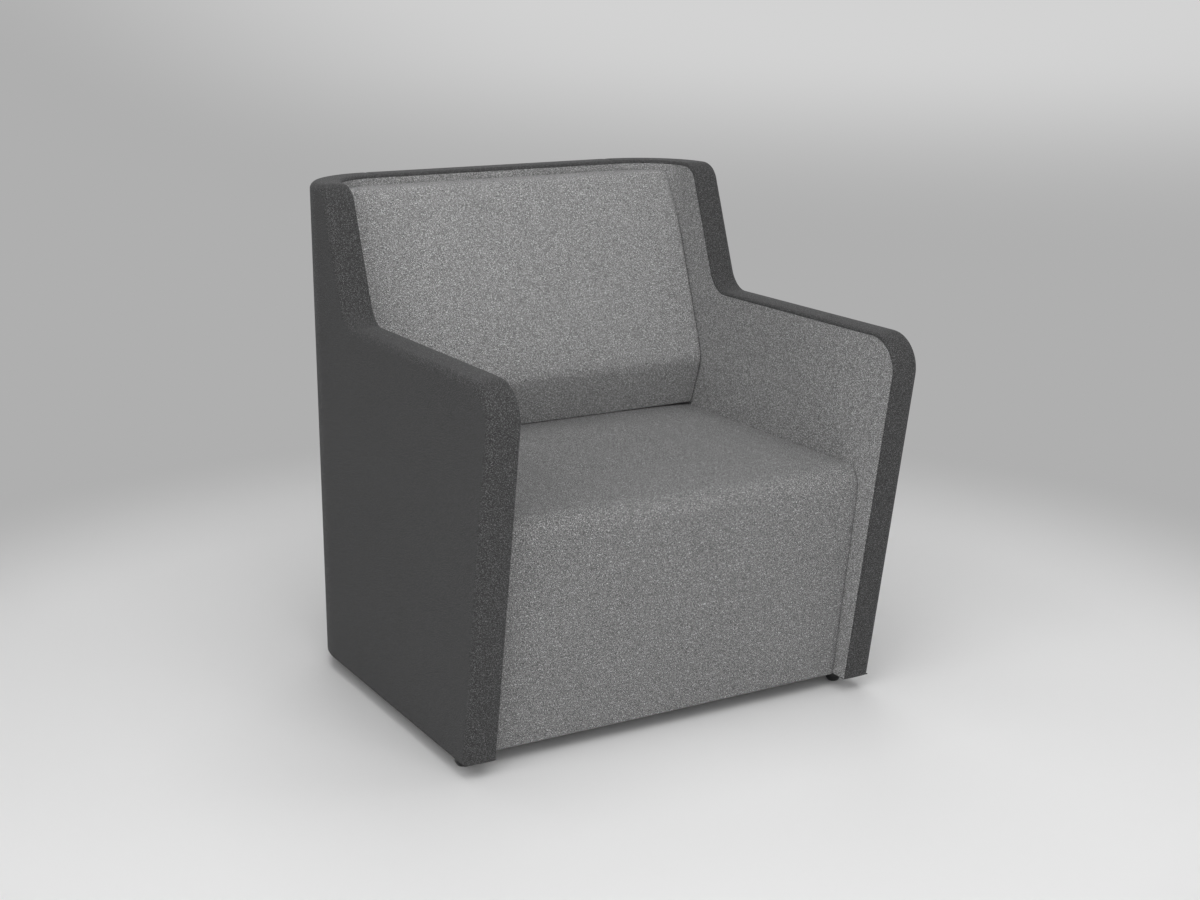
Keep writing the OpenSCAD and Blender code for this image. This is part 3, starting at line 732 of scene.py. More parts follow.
def arc(centre: Pair, radius: float, start: float, end: float, steps: int, side: int) -> list[Triple]:
    """Outline points on an arc in the side view.

    Args:
        centre: The arc's centre as (y, z).
        radius: The arc's radius.
        start: First angle of the outward normal, in radians.
        end: Last angle.
        steps: Number of steps.
        side: 1 where the outline is convex, -1 where it is concave.

    Returns:
        Tuples of y, z and the normal's angle.
    """
    angles = np.linspace(start, end, steps + 1)
    return [(centre[0] + side * radius * math.cos(a), centre[1] + side * radius * math.sin(a), a) for a in angles]


def straight(first: Triple, last: Triple, steps: int) -> list[Triple]:
    """Outline points between two others, without either end.

    Args:
        first: Start as y, z and the normal's angle.
        last: End.
        steps: Number of steps.

    Returns:
        Tuples of y, z and the normal's angle.
    """
    shares = np.linspace(0, 1, steps + 1)[1:-1]
    return [tuple(f + (l - f) * s for f, l in zip(first, last)) for s in shares]


def seam_pinch(distance: np.ndarray) -> np.ndarray:
    """How far fabric is drawn in beside a sewn seam: an exponential of the distance.

    Args:
        distance: Distances from the seam in metres.

    Returns:
        Depths in metres.
    """
    return SEAM_DEPTH * np.exp(-np.abs(distance) / SEAM_REACH)


def whole_plan(half: np.ndarray, z: float) -> np.ndarray:
    """A closed ring from half of a plan.

    Args:
        half: Points from the middle of the front to the middle of the rear.
        z: Height of the ring.

    Returns:
        Array of shape (points, 3).
    """
    other = half[-2:0:-1] * [-1, 1]
    ring = np.vstack([half, other])
    return np.column_stack([ring, np.full(len(ring), z)])


def dress(
    obj: Piece, material: Material, slot: str, *nodes: str, body: str = "chair", fill: float | None = None
) -> Piece:
    """Gives a piece its material, attaches it to its body and hides the CAD nodes that it replaces.

    Args:
        obj: The piece.
        material: Its material.
        slot: Its material slot; not used.
        nodes: The CAD nodes that it replaces.
        body: The body that it rides.
        fill: How tight its padding is, where it is padded; not used.

    Returns:
        The piece.
    """
    obj.data.materials.append(material)
    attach(obj, body)
    if nodes:
        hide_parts(*nodes)
    return obj


@dataclass(frozen=True)
class Walls:
    """The wrapped arms and back: outer covers with their hems, and linings.

    Attributes:
        dim: The chair's sizes.
        cover_fabric: Fabric of the outer covers.
        lining_fabric: Fabric of the linings.
        crown: How far the rim's band sinks between its edges.
        lining_edge: Radius of the lining's turned-in upper edge.
        near: Distance behind the foot where the outer face's lines first end along the foot.
        far: The same distance for the line below the arm's nose.
        gather: Power of the rim's length by which the lines between them spread.
        first_step: Length of the first straight step below a rolled edge.
        hem_back: Distance of the hem behind the front foot.
        hem_trim: How much narrower the hem is than the wall.
    """

    dim: Dimensions
    cover_fabric: Material
    lining_fabric: Material
    crown: float = 0.0007
    lining_edge: float = 0.0006
    near: float = 0.020
    far: float = 0.130
    gather: float = 1.2
    first_step: float = 0.002
    hem_back: float = 0.004
    hem_trim: float = 0.0006

    def build(self) -> list[Piece]:
        """Makes the walls' pieces and puts them in place of their CAD solids.

        Returns:
            The pieces.
        """
        side, back = self.side_rim(), self.back_rim()
        pieces = []
        for which in Side:
            flip = np.array([which.value, 1.0, 1.0])
            pieces.append(self.cover(which.word, self.cover_rings(side) * flip, self.hem_rings(side) * flip))
            pieces.append(self.lined(which.word, self.lining_rings(side) * flip))
        pieces.append(self.cover("back", self.cover_rings(back), self.hem_rings(back)))
        pieces.append(self.lined("back", self.lining_rings(back)))
        return pieces

    def cover(self, place: str, *lofts: np.ndarray) -> Piece:
        """Makes one outer cover with its hem.

        Args:
            place: The wall's name in node names.
            lofts: Rings of the cover and of its hem.

        Returns:
            The cover.
        """
        cover = closed_loft(f"shell_cover_{place}", *lofts)
        return dress(cover, self.cover_fabric, "shell_fabric", f"outer_cover_{place}", fill=1.0)

    def lined(self, place: str, rings: np.ndarray) -> Piece:
        """Makes one lining.

        Args:
            place: The wall's name in node names.
            rings: Its rings.

        Returns:
            The lining.
        """
        lining = closed_loft(f"lining_cover_{place}", rings)
        return dress(lining, self.lining_fabric, "lining_fabric", f"lining_{place}", fill=1.0)

    def side_rim(self) -> Rim:
        """Stations of the right-hand wall, from its front foot round to the rear seam.

        The side outline is a chain of lines and arcs, each tangent to the next: the leaning front,
        the nose, the level arm, the hollow step, the leaning wing, its crest and the level rim.
        Round the rear corner a station is the corner's centre plus the inner radius times the
        direction of its turn.

        Returns:
            The stations.
        """
        dim = self.dim
        quarter = math.pi / 2
        lean = math.pi + dim.front_lean
        back = math.pi - dim.wing_lean
        nose = (dim.front_y(dim.arm_z - dim.nose_r) + dim.nose_r / math.cos(dim.front_lean), dim.arm_z - dim.nose_r)
        step = (dim.wing_y(dim.arm_z + dim.step_r) - dim.step_r / math.cos(dim.wing_lean), dim.arm_z + dim.step_r)
        wing = (dim.wing_y(dim.top_z - dim.wing_r) + dim.wing_r / math.cos(dim.wing_lean), dim.top_z - dim.wing_r)
        start = (dim.foot_y, dim.foot_z, lean)
        front = arc(nose, dim.nose_r, lean, quarter, 22, 1)
        bend = arc(step, dim.step_r, quarter, back, 18, -1)
        crest = arc(wing, dim.wing_r, back, quarter, 16, 1)
        points = [start, *straight(start, front[0], 18), *front]
        nose_end = len(points) - 1
        points += straight(front[-1], bend[0], ARM_STEPS)
        points += [*bend, *straight(bend[-1], crest[0], 8), *crest, (dim.corner_y, dim.top_z, quarter)]
        outline = np.array(points)
        count = len(outline)
        base = np.column_stack([np.full(count, dim.inner_x), outline[:, 0], outline[:, 1]])
        out = np.tile([1.0, 0.0, 0.0], (count, 1))
        down = np.column_stack([np.zeros(count), -np.cos(outline[:, 2]), -np.sin(outline[:, 2])])
        down[0] = (0, 1 / math.cos(dim.front_lean), 0)
        run = np.r_[0, np.cumsum(np.hypot(*np.diff(outline[:, :2], axis=0).T))]
        foot_y = outline[:, 0].copy()
        near, far = dim.foot_y + self.near, dim.foot_y + self.far
        before = slice(0, nose_end + 1)
        foot_y[before] = near + (far - near) * (run[before] / run[nose_end]) ** self.gather
        step_start = nose_end + ARM_STEPS
        between = slice(nose_end, step_start + 1)
        foot_y[between] = np.linspace(far, outline[step_start, 0], step_start - nose_end + 1)
        foot = np.column_stack([np.full(count, dim.inner_x), foot_y, np.full(count, dim.foot_z)])
        seam = SEAM_STEPS / dim.corner_r
        turns = np.r_[np.linspace(0, quarter - seam[-1], 31)[1:], quarter - seam[::-1][1:]]
        normal = np.column_stack([np.cos(turns), np.sin(turns), np.zeros(len(turns))])
        corner = np.array([dim.corner_x, dim.corner_y, 0.0]) + dim.inner_r * normal
        rim_points = corner + [0, 0, dim.top_z]
        foot_points = corner + [0, 0, dim.foot_z]
        pinch = seam_pinch((quarter - turns) * dim.corner_r)
        return Rim(
            np.vstack([base, rim_points]),
            np.vstack([out, normal]),
            np.vstack([down, np.tile([0.0, 0.0, -1.0], (len(turns), 1))]),
            np.vstack([foot, foot_points]),
            np.r_[np.zeros(count), pinch],
            np.r_[outline[:, 2], np.full(len(turns), quarter)],
        )

    def back_rim(self) -> Rim:
        """Stations of the back wall, from the right-hand seam to the left-hand one.

        They lie on a straight level line, closer together beside the seams.

        Returns:
            The stations.
        """
        dim = self.dim
        right = dim.corner_x - SEAM_STEPS
        x = np.r_[right, np.linspace(right[-1], -right[-1], 41)[1:-1], -right[::-1]]
        count = len(x)
        pinch = seam_pinch(dim.corner_x - np.abs(x))
        base = np.column_stack([x, np.full(count, dim.inner_y), np.full(count, dim.top_z)])
        foot = base.copy()
        foot[:, 2] = dim.foot_z
        level = np.full(count, math.pi / 2)
        out, down = np.tile([0.0, 1.0, 0.0], (count, 1)), np.tile([0.0, 0.0, -1.0], (count, 1))
        return Rim(base, out, down, foot, pinch, level)

    def cover_rings(self, rim: Rim) -> np.ndarray:
        """Rings of an outer cover: lip, crowned band, rolled edge, outer face and hidden inner faces.

        A point is its station's base plus a distance outwards and a depth into the wall. The lip
        is a quarter ellipse, the band half a sine wave deep, and the roll a quarter circle. Below
        them the skin runs in straight lines to the foot.

        Args:
            rim: The wall's stations.

        Returns:
            Array of shape (stations, points, 3).
        """
        dim = self.dim
        lip = np.linspace(0, math.pi / 2, 7)
        roll = np.linspace(0, math.pi / 2, 13)
        inner = dim.wall - dim.roll_r
        width, seam = dim.edge_width(rim.angle)[:, None], dim.seam_depth(rim.angle)[:, None]
        share = np.linspace(0, 1, 9)[None, 1:-1]
        rolled = np.tile(np.r_[inner + dim.roll_r * np.sin(roll), dim.wall], (len(width), 1))
        across = np.hstack([width * (1 - np.cos(lip)), width + (inner - width) * share, rolled])
        crown = np.tile(-self.crown * np.sin(np.pi * share), (len(width), 1))
        outer = np.tile(np.r_[dim.roll_r * (1 - np.cos(roll)), dim.roll_r + self.first_step], (len(width), 1))
        depth = np.hstack([seam * (1 - np.sin(lip)), crown, outer])
        turn_out = np.concatenate([-np.cos(lip), np.zeros(share.size), np.sin(roll), [1.0]])
        turn_up = np.concatenate([np.sin(lip), np.ones(share.size), np.cos(roll), [0.0]])
        n = across - rim.pinch[:, None] * turn_out[None, :]
        d = depth + rim.pinch[:, None] * turn_up[None, :]
        top = rim.at(n, d)
        foot_out = rim.foot + (dim.wall - rim.pinch)[:, None] * rim.out
        foot_in = rim.foot + (dim.wall - dim.cover) * rim.out
        hidden = [(dim.wall - dim.cover, dim.cover), (dim.lining, dim.cover), (dim.lining, seam)]
        under = np.stack([rim.base + a * rim.out + b * rim.down for a, b in hidden], axis=1)
        return np.concatenate([top, legs(top, foot_out), foot_in[:, None, :], under], axis=1)

    def lining_rings(self, rim: Rim) -> np.ndarray:
        """Rings of a lining: a turned-in upper edge, the visible inner face and a hidden rear face.

        The edge is a quarter circle that starts at the seam's depth, and straight lines join it to
        the foot.

        Args:
            rim: The wall's stations.

        Returns:
            Array of shape (stations, points, 3).
        """
        edge = self.lining_edge
        start = self.dim.seam_depth(rim.angle)[:, None] + self.dim.gap
        thick = self.dim.lining - self.dim.gap
        turn = np.linspace(0, math.pi / 2, 5)
        across = np.concatenate([[thick], edge * (1 - np.sin(turn)), [0.0]])
        depth = start + np.concatenate([[0.0], edge * (1 - np.cos(turn)), [edge + self.first_step]])
        facing = np.concatenate([[0.0], np.sin(turn), [1.0]])
        top = rim.at(across[None, :] + rim.pinch[:, None] * facing[None, :], depth)
        foot_in = rim.foot + rim.pinch[:, None] * rim.out
        foot_out = (rim.foot + thick * rim.out)[:, None, :]
        return np.concatenate([top, legs(top, foot_in), foot_out], axis=1)

    def hem_rings(self, rim: Rim) -> np.ndarray:
        """Rings of an outer cover's hem, which folds under the wall and covers the rail's underside.

        Each ring is a flat oblong with half-round ends, drawn across the wall under its foot.

        Args:
            rim: The wall's stations.

        Returns:
            Array of shape (stations, points, 3).
        """
        dim = self.dim
        foot, out = rim.foot, rim.out
        if foot[0, 0] > dim.corner_x:
            foot = np.vstack([[foot[0, 0], dim.foot_y + self.hem_back, foot[0, 2]], foot])
            out = np.vstack([out[:1], out])
        half, thick = (dim.wall - self.hem_trim) / 2, dim.hem_t / 2
        across, drop = oblong(half, thick)
        across, drop = half + across, dim.gap + thick + drop
        lowered = foot[:, None, :] - drop[None, :, None] * np.array([0.0, 0.0, 1.0])
        return lowered + across[None, :, None] * out[:, None, :]


@dataclass(frozen=True)
class Cushions:
    """The seat with its waterfall apron, and the back cushion.

    Attributes:
        dim: The chair's sizes.
        seat_fabric: Fabric of the seat and apron.
        back_fabric: Fabric of the back cushion.
        hem: Roll along the apron's foot.
        soft: Height over which the apron's side edges widen into the waterfall's corners.
        low_roll: Roll along the back cushion's foot.
        top_side: Roll along its upper side edges.
        crease: Gap that shows as a dark line beside it.
        fold: How far the apron's hem reaches behind the apron.
        fold_back: Distance of that hem behind the apron's face.
        flat: Share of the front's bulge that is gone at the top of the waterfall.
        rear_from: Share of the edge beyond which a ring's widened rear passes back into it.
        ridge_reach: How far above and below the ridge the rings stand close together.
        level: Share of the back cushion's crown that is left at its foot and top.
    """

    dim: Dimensions
    seat_fabric: Material
    back_fabric: Material
    hem: float = 0.002
    soft: float = 0.014
    low_roll: float = 0.003
    top_side: float = 0.002
    crease: float = 0.0014
    fold: float = 0.016
    fold_back: float = 0.003
    flat: float = 0.75
    rear_from: float = 0.86
    ridge_reach: float = 0.030
    level: float = 0.25

    def build(self) -> list[Piece]:
        """Makes both cushions and puts them in place of their CAD solids.

        Returns:
            The seat with its apron, and the back cushion.
        """
        seat = closed_loft("seat_upholstery", self.seat_rings(), self.front_hem(), sharp=60.0)
        back = closed_loft("back_upholstery", self.cushion_rings(), sharp=60.0)
        return [
            dress(seat, self.seat_fabric, "seat_fabric", "seat_cushion", "front_apron", fill=0.85),
            dress(back, self.back_fabric, "cushion_fabric", "back_cushion", fill=0.85),
        ]

    def half_plan(self, front: float, e: float, edge: float, crown: float, rear: float) -> np.ndarray:
        """Right half of a cushion's plan, from the middle of its front to its rear corner.

        The front is a parabola, its corner a quarter ellipse, the side a straight line, and the
        rear follows the lining's circle.

        Args:
            front: Y of the front face at the side.
            e: How far the sides are drawn in.
            edge: Radius of the upright front edge.
            crown: How far the middle of the front stands forward.
            rear: Y of the rear face.

        Returns:
            Array of shape (points, 2).
        """
        dim = self.dim
        y = front + edge
        side = dim.room_x(y, e)
        wide = dim.corner_spread * edge
        r = dim.inner_r - dim.gap - e
        first = math.asin(max(0.0, y + 0.001 - dim.corner_y) / r)
        last = math.asin(min(1.0, (rear - dim.corner_y) / r))
        s = np.linspace(0, 1, 27)
        face = np.column_stack([(side - wide) * s, front - crown * (1 - s**2)])
        turn = np.linspace(0, math.pi / 2, 8)[1:]
        corner = np.column_stack([side - wide + wide * np.sin(turn), front + edge * (1 - np.cos(turn))])
        angles = np.linspace(first, last, 15)
        rest = np.column_stack([dim.corner_x + r * np.cos(angles), dim.corner_y + r * np.sin(angles)])
        along = np.array([side, y]) + (rest[0] - [side, y]) * np.linspace(0, 1, 10)[1:-1, None]
        back = np.column_stack([np.linspace(rest[-1, 0], 0, 9)[1:], np.full(8, rest[-1, 1])])
        return np.vstack([face, corner, along, rest, back])

    def apron_plan(self, front: float, depth: float, template: np.ndarray) -> np.ndarray:
        """A shallow ring behind the apron's face that matches a cushion's ring point by point.

        Args:
            front: Y of the face.
            depth: Thickness from front to rear.
            template: A full cushion half-plan with the same front.

        Returns:
            Array of shape (points, 2).
        """
        plan = template.copy()
        plan[:, 1] = np.minimum(plan[:, 1], front + depth)
        rear = template[:, 1] > front + depth
        far = np.cumsum(np.r_[0, np.hypot(*np.diff(template[rear], axis=0).T)])
        share = far / far[-1]
        side = self.dim.inner_x - self.dim.gap
        plan[rear, 0] = side * (1 - share)
        plan[rear, 1] = front + depth
        return plan

    def seat_rings(self) -> np.ndarray:
        """Rings of the seat and apron in one upholstered form.

        From below: a rolled hem, the leaning apron, the waterfall on a circle tangent to the apron
        and to the level seat, and the crown, whose rings are the seat's edge drawn to its middle
        and whose height falls with a power of their share.

        Returns:
            Array of shape (rings, points, 3).
        """
        dim = self.dim
        rings = []
        low = dim.seat_z - dim.seat_t
        sharp, bulge = dim.apron_corner_r, dim.front_bulge
        for a in np.linspace(0, math.pi / 2, 6):
            z = dim.foot_z + self.hem * (1 - math.cos(a))
            shift = self.hem * (1 - math.sin(a))
            front = dim.apron_y(z) + shift
            full = self.half_plan(front, 0.0, sharp, bulge, dim.inner_y)
            rings.append(whole_plan(self.apron_plan(front, dim.apron_t - shift, full), z))
        for z in np.linspace(dim.foot_z + self.hem, low - dim.gap, 14)[1:]:
            full = self.half_plan(dim.apron_y(z), 0.0, sharp, bulge, dim.inner_y)
            rings.append(whole_plan(self.apron_plan(dim.apron_y(z), dim.apron_t, full), z))
        lean = dim.apron_lean
        centre_y = dim.apron_y(dim.seat_z - dim.waterfall_r) + dim.waterfall_r / math.cos(lean)
        centre_z = dim.seat_z - dim.waterfall_r
        start = centre_z + dim.waterfall_r * math.sin(math.pi + lean)
        for z in np.r_[np.linspace(low, start - self.soft, 5), np.linspace(start - self.soft, start, 8)[1:]]:
            t = max(0.0, 1 - (start - z) / self.soft)
            corner = sharp + (dim.seat_corner_r - sharp) * t * t * (3 - 2 * t)
            rings.append(whole_plan(self.half_plan(dim.apron_y(z), 0.0, corner, bulge, dim.inner_y), z))
        for a in np.linspace(math.pi + lean, math.pi / 2, 25)[1:]:
            y = centre_y + dim.waterfall_r * math.cos(a)
            z = centre_z + dim.waterfall_r * math.sin(a)
            t = (z - start) / (dim.seat_z - start)
            rise = min(1.0, max(0.0, 1 - (dim.seat_z - z) / dim.seat_roll))
            e = dim.seat_roll * (1 - math.sqrt(1 - rise * rise))
            stand = bulge * (1 - self.flat * t)
            rings.append(whole_plan(self.half_plan(y, e, dim.seat_corner_r, stand, dim.inner_y), z))
        edge = rings[-1]
        middle = dim.seat_mid_y
        tail = (1 - self.rear_from * dim.rear_wide) / (1 - self.rear_from)
        for s in SEAT_SHARES:
            ring = edge.copy()
            rear = dim.rear_wide * s if s < self.rear_from else 1 - tail * (1 - s)
            ring[:, 0] = edge[:, 0] * s
            ring[:, 1] = middle + (edge[:, 1] - middle) * np.where(edge[:, 1] > middle, rear, s)
            ring[:, 2] = dim.crown_z(s)
            rings.append(ring)
        return np.array(rings)

    def front_hem(self) -> np.ndarray:
        """Rings of the apron's hem, which folds under the front board.

        Each ring is a flat oblong with half-round ends, and the rings stand side by side across.

        Returns:
            Array of shape (stations, points, 3).
        """
        dim = self.dim
        half, thick = (dim.apron_t + self.fold) / 2, dim.hem_t / 2
        across, drop = oblong(half, thick)
        y = dim.apron_y(dim.foot_z) + self.fold_back + half + across
        z = dim.foot_z - dim.gap - thick - drop
        x = (dim.inner_x - 0.001) * np.linspace(-1, 1, 21)
        return np.stack([part.ravel() for part in np.broadcast_arrays(x[:, None], y, z)], axis=-1).reshape(21, -1, 3)

    def cushion_rings(self) -> np.ndarray:
        """Rings of the back cushion: rolled foot, lumbar ridge, leaning face and rounded top.

        The face is a hyperbola bent round the ridge, its crown across is a parabola that is
        highest halfway up, and the foot and top are quarter circles.

        Returns:
            Array of shape (rings, points, 3).
        """
        dim = self.dim
        low_z = dim.cushion_low_z
        high_z = dim.top_z - dim.cushion_drop

        def ring(z: float, shift: float, e: float, rear: float) -> np.ndarray:
            rise = min(1.0, max(0.0, (z - low_z) / (high_z - low_z)))
            crown = dim.cushion_crown * (self.level + (1 - self.level) * math.sin(math.pi * rise))
            plan = self.half_plan(dim.face_y(z) + shift, e + self.crease, dim.cushion_edge_r, crown, rear)
            return whole_plan(plan, z)

        rings = []
        for a in np.linspace(0, math.pi / 2, 8):
            inset = self.low_roll * (1 - math.sin(a))
            rings.append(ring(low_z + self.low_roll * (1 - math.cos(a)), inset, inset, dim.cushion_rear_y))
        ridge = dim.lumbar_z + self.ridge_reach * np.linspace(-1, 1, 21)
        below = np.linspace(low_z + self.low_roll, ridge[0], 5)[1:-1]
        above = np.linspace(ridge[-1], dim.board_z, 16)[1:]
        for z in np.r_[below, ridge, above]:
            rings.append(ring(z, 0.0, 0.0, dim.cushion_rear_y))
        rings.append(ring(dim.board_z + 0.002, 0.0, 0.0, dim.inner_y))
        for a in np.linspace(0, math.pi / 2, 15):
            z, turn = high_z - dim.cushion_top_r * (1 - math.sin(a)), 1 - math.cos(a)
            rings.append(ring(z, dim.cushion_top_r * turn, self.top_side * turn, dim.inner_y))
        return np.array(rings)


@dataclass(frozen=True)
class Glides:
    """The four moulded pads that carry the chair.

    Attributes:
        dim: The chair's sizes.
        plastic: Material of the pads.
        hole: Radius of the hole round the stud.
    """

    dim: Dimensions
    plastic: Material
    hole: float = 0.0045

    def build(self) -> list[Piece]:
        """Puts a finished pad in place of each CAD pad.

        Returns:
            The pads.
        """
        return [self.pad(end, side) for end in ("front", "rear") for side in Side]

    def pad(self, end: str, side: Side) -> Piece:
        """Makes one pad where its CAD solid stands.

        Args:
            end: "front" or "rear".
            side: The chair's side.

        Returns:
            The pad.
        """
        place = f"{end}_{side.word}"
        low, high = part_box(f"glide_pad_{place}")
        centre = (Vector(low) + Vector(high)) / 2
        pad = closed_loft(f"glide_{place}", turned(self.profile(), 64) + [centre.x, centre.y, 0.0], sharp=35.0)
        return dress(pad, self.plastic, "glide_plastic", f"glide_pad_{place}", body=f"{place}_pad")

    def profile(self) -> np.ndarray:
        """A pad's profile, with a bevelled foot, a parting groove and a rounded rim.

        Returns:
            Distances from the axis and heights, shape (points, 2).
        """
        r, top = self.dim.pad_r, self.dim.pad_top_z
        foot = [(r - 0.0046, 0.0), (r - 0.0040, 0.0003), (r - 0.0028, 0.0018), (r - 0.0004, 0.0062), (r, 0.0074)]
        groove = [(r, 0.0180), (r - 0.0002, 0.0187), (r - 0.0009, 0.0192)]
        groove += [(across, 0.0392 - up) for across, up in groove[::-1]]
        rim = [(r, top - 0.0012), (r - 0.0004, top - 0.0004), (r - 0.0012, top), (self.hole, top)]
        return np.array(foot + groove + rim)


@dataclass(frozen=True)
class Underside:
    """The stretched dust cover under the base and the staples that hold it and the hems.

    Attributes:
        dim: The chair's sizes.
        cloth: Material of the dust cover.
        wire: Material of the staples.
        front_gap: Depth of the front board's foot, from the apron to the cover.
        lift: Height of the cover's upper face above the shell's lower edge.
        thick: Thickness of the cloth as drawn.
        sag: How far the cloth hangs in its middle.
        crown: Length of a staple's crown.
        gauge: Thickness of its wire.
        sink: How deep its wire lies in the cloth.
        pitch: Distance between staples.
        row: Where a hem's staples sit, as a share of the wall's thickness.
        first: Distance of a side hem's first staple from the chair's front edge.
        first_across: Distance of a cross row's first staple from the rear corner's start.
        front_inset: Distance of the front row from the dust cover's front edge.
        rear_inset: Distance of the rear row from the back's lining.
    """

    dim: Dimensions
    cloth: Material
    wire: Material
    front_gap: float = 0.0128
    lift: float = 0.0011
    thick: float = 0.0010
    sag: float = 0.0012
    crown: float = 0.011
    gauge: float = 0.0008
    sink: float = 0.0001
    pitch: float = 0.045
    row: float = 0.55
    first: float = 0.035
    first_across: float = 0.020
    front_inset: float = 0.009
    rear_inset: float = 0.012

    @property
    def front(self) -> float:
        """The dust cover's front edge."""
        return self.dim.apron_y(self.dim.foot_z) + self.dim.front_puff + self.dim.apron_t + self.front_gap

    @property
    def edge_r(self) -> float:
        """Radius of the dust cover's rear corners."""
        return self.dim.inner_r - self.dim.gap

    def outline(self) -> np.ndarray:
        """The dust cover's outline: straight front and sides, quarter circles at the rear corners.

        Returns:
            Array of shape (points, 2).
        """
        dim, front, r = self.dim, self.front, self.edge_r
        side = dim.inner_x - dim.gap
        turns = np.linspace(0, math.pi / 2, 17)[1:]
        half = np.vstack([
            np.column_stack([np.linspace(0, side, 19), np.full(19, front)]),
            np.column_stack([np.full(14, side), np.linspace(front, dim.corner_y, 15)[1:]]),
            np.column_stack([dim.corner_x + r * np.cos(turns), dim.corner_y + r * np.sin(turns)]),
            np.column_stack([np.linspace(dim.corner_x, 0, 12)[1:], np.full(11, dim.corner_y + r)]),
        ])
        return whole_plan(half, 0.0)[:, :2]

    def build(self) -> list[Piece]:
        """Makes the dust cover and the staples.

        Returns:
            Both pieces.
        """
        return [self.dust_cover(), self.staples()]

    def dust_cover(self) -> Piece:
        """Makes the dust cover.

        Each ring is the outline drawn in to a share of its size about the middle, and it hangs by
        the sag times one less the share's square.

        Returns:
            The cover.
        """
        dim, outline = self.dim, self.outline()
        middle = np.array([0.0, (self.front + dim.corner_y + self.edge_r) / 2])
        plans = middle + (outline - middle) * COVER_SHARES[:, None, None]
        top = dim.foot_z + self.lift - self.sag * (1 - COVER_SHARES**2)
        upper = np.concatenate([plans, np.tile(top[:, None, None], (1, len(outline), 1))], axis=-1)
        rings = np.concatenate([(upper - [0.0, 0.0, self.thick])[::-1], upper])
        cover = dress(closed_loft("under_cover", rings, sharp=60.0), self.cloth, "black_cloth", "dust_cover")
        flat = (2 * (dim.inner_x - dim.gap), dim.corner_y + self.edge_r - self.front)
        return cover

    def staple_places(self) -> np.ndarray:
        """Where the staples sit: along the walls' hems, and along the dust cover's front and rear.

        Returns:
            Array of shape (staples, 4): x, y, the crown's turn in plan, and z.
        """
        dim = self.dim
        mid = dim.wall * self.row
        reach = dim.inner_r + mid
        along = np.arange(dim.foot_y + self.first, dim.corner_y, self.pitch)
        across = np.arange(-dim.corner_x + self.first_across, dim.corner_x, self.pitch)
        turns = np.linspace(0.15, 0.85, 6) * math.pi / 2
        level = np.zeros(len(across))
        sides, upright = np.full(len(along), dim.inner_x + mid), np.full(len(along), math.pi / 2)
        hems = [np.column_stack([side * sides, along, upright]) for side in (-1, 1)]
        for side in (-1, 1):
            x = side * (dim.corner_x + reach * np.cos(turns))
            hems.append(np.column_stack([x, dim.corner_y + reach * np.sin(turns), side * (turns + math.pi / 2)]))
        hems.append(np.column_stack([across, level + dim.inner_y + mid, level]))
        rows_y = (self.front + self.front_inset, dim.inner_y - self.rear_inset)
        ends = [np.column_stack([across, level + y, level]) for y in rows_y]
        hem_z, cloth_z = dim.foot_z - dim.gap - dim.hem_t, dim.foot_z + self.lift - self.thick
        rows = ((np.vstack(hems), hem_z), (np.vstack(ends), cloth_z))
        return np.vstack([np.column_stack([row, np.full(len(row), z)]) for row, z in rows])

    def staples(self) -> Piece:
        """Makes the staples' crowns, flat wire bars with bevelled edges and ends.

        Each bar's ring is its section times the wire's gauge, flat at both ends, and every bar is
        the same set of rings turned in plan and moved to its place.

        Returns:
            The staples in one piece.
        """
        places = self.staple_places()
        steps = np.array([-0.5, -0.46, 0.46, 0.5]) * self.crown
        drop = np.array([0.0, self.gauge, self.gauge, 0.0])
        section = np.array([[-0.5, 0.0], [-0.35, -1.0], [0.35, -1.0], [0.5, 0.0]])
        x, y = np.tile(steps[:, None], (1, 4)), np.tile(section[:, 0] * self.gauge, (4, 1))
        z = section[None, :, 1] * drop[:, None] + self.sink
        cos, sin = np.cos(places[:, 2])[:, None, None], np.sin(places[:, 2])[:, None, None]
        rings = np.stack([
            places[:, 0, None, None] + x * cos - y * sin,
            places[:, 1, None, None] + x * sin + y * cos,
            places[:, 3, None, None] + z + 0 * cos,
        ], axis=-1)
        return dress(closed_loft("staples", *rings, sharp=30.0), self.wire, "zinc_steel")


# Soft lights: place, height that each faces above the origin, size in metres, and power in watts.
LIGHTS = {
    "key": ((-3.4, -1.8, 2.9), 0.45, (3.0, 3.0), 65.0),
    "low_key": ((-1.8, -3.6, 1.35), 0.45, (2.6, 2.0), 24.0),
    "front": ((0.2, -4.2, 1.5), 0.45, (2.6, 2.0), 26.0),
    "brow": ((-0.7, -2.7, 3.3), 0.5, (3.0, 1.8), 45.0),
    "overhead": ((0.0, 0.0, 4.2), 0.0, (4.0, 4.0), 66.0),
    "rear": ((1.6, 3.4, 2.6), 0.45, (3.0, 3.0), 32.0),
    "right": ((3.4, -1.2, 2.2), 0.45, (2.6, 2.6), 15.0),
}


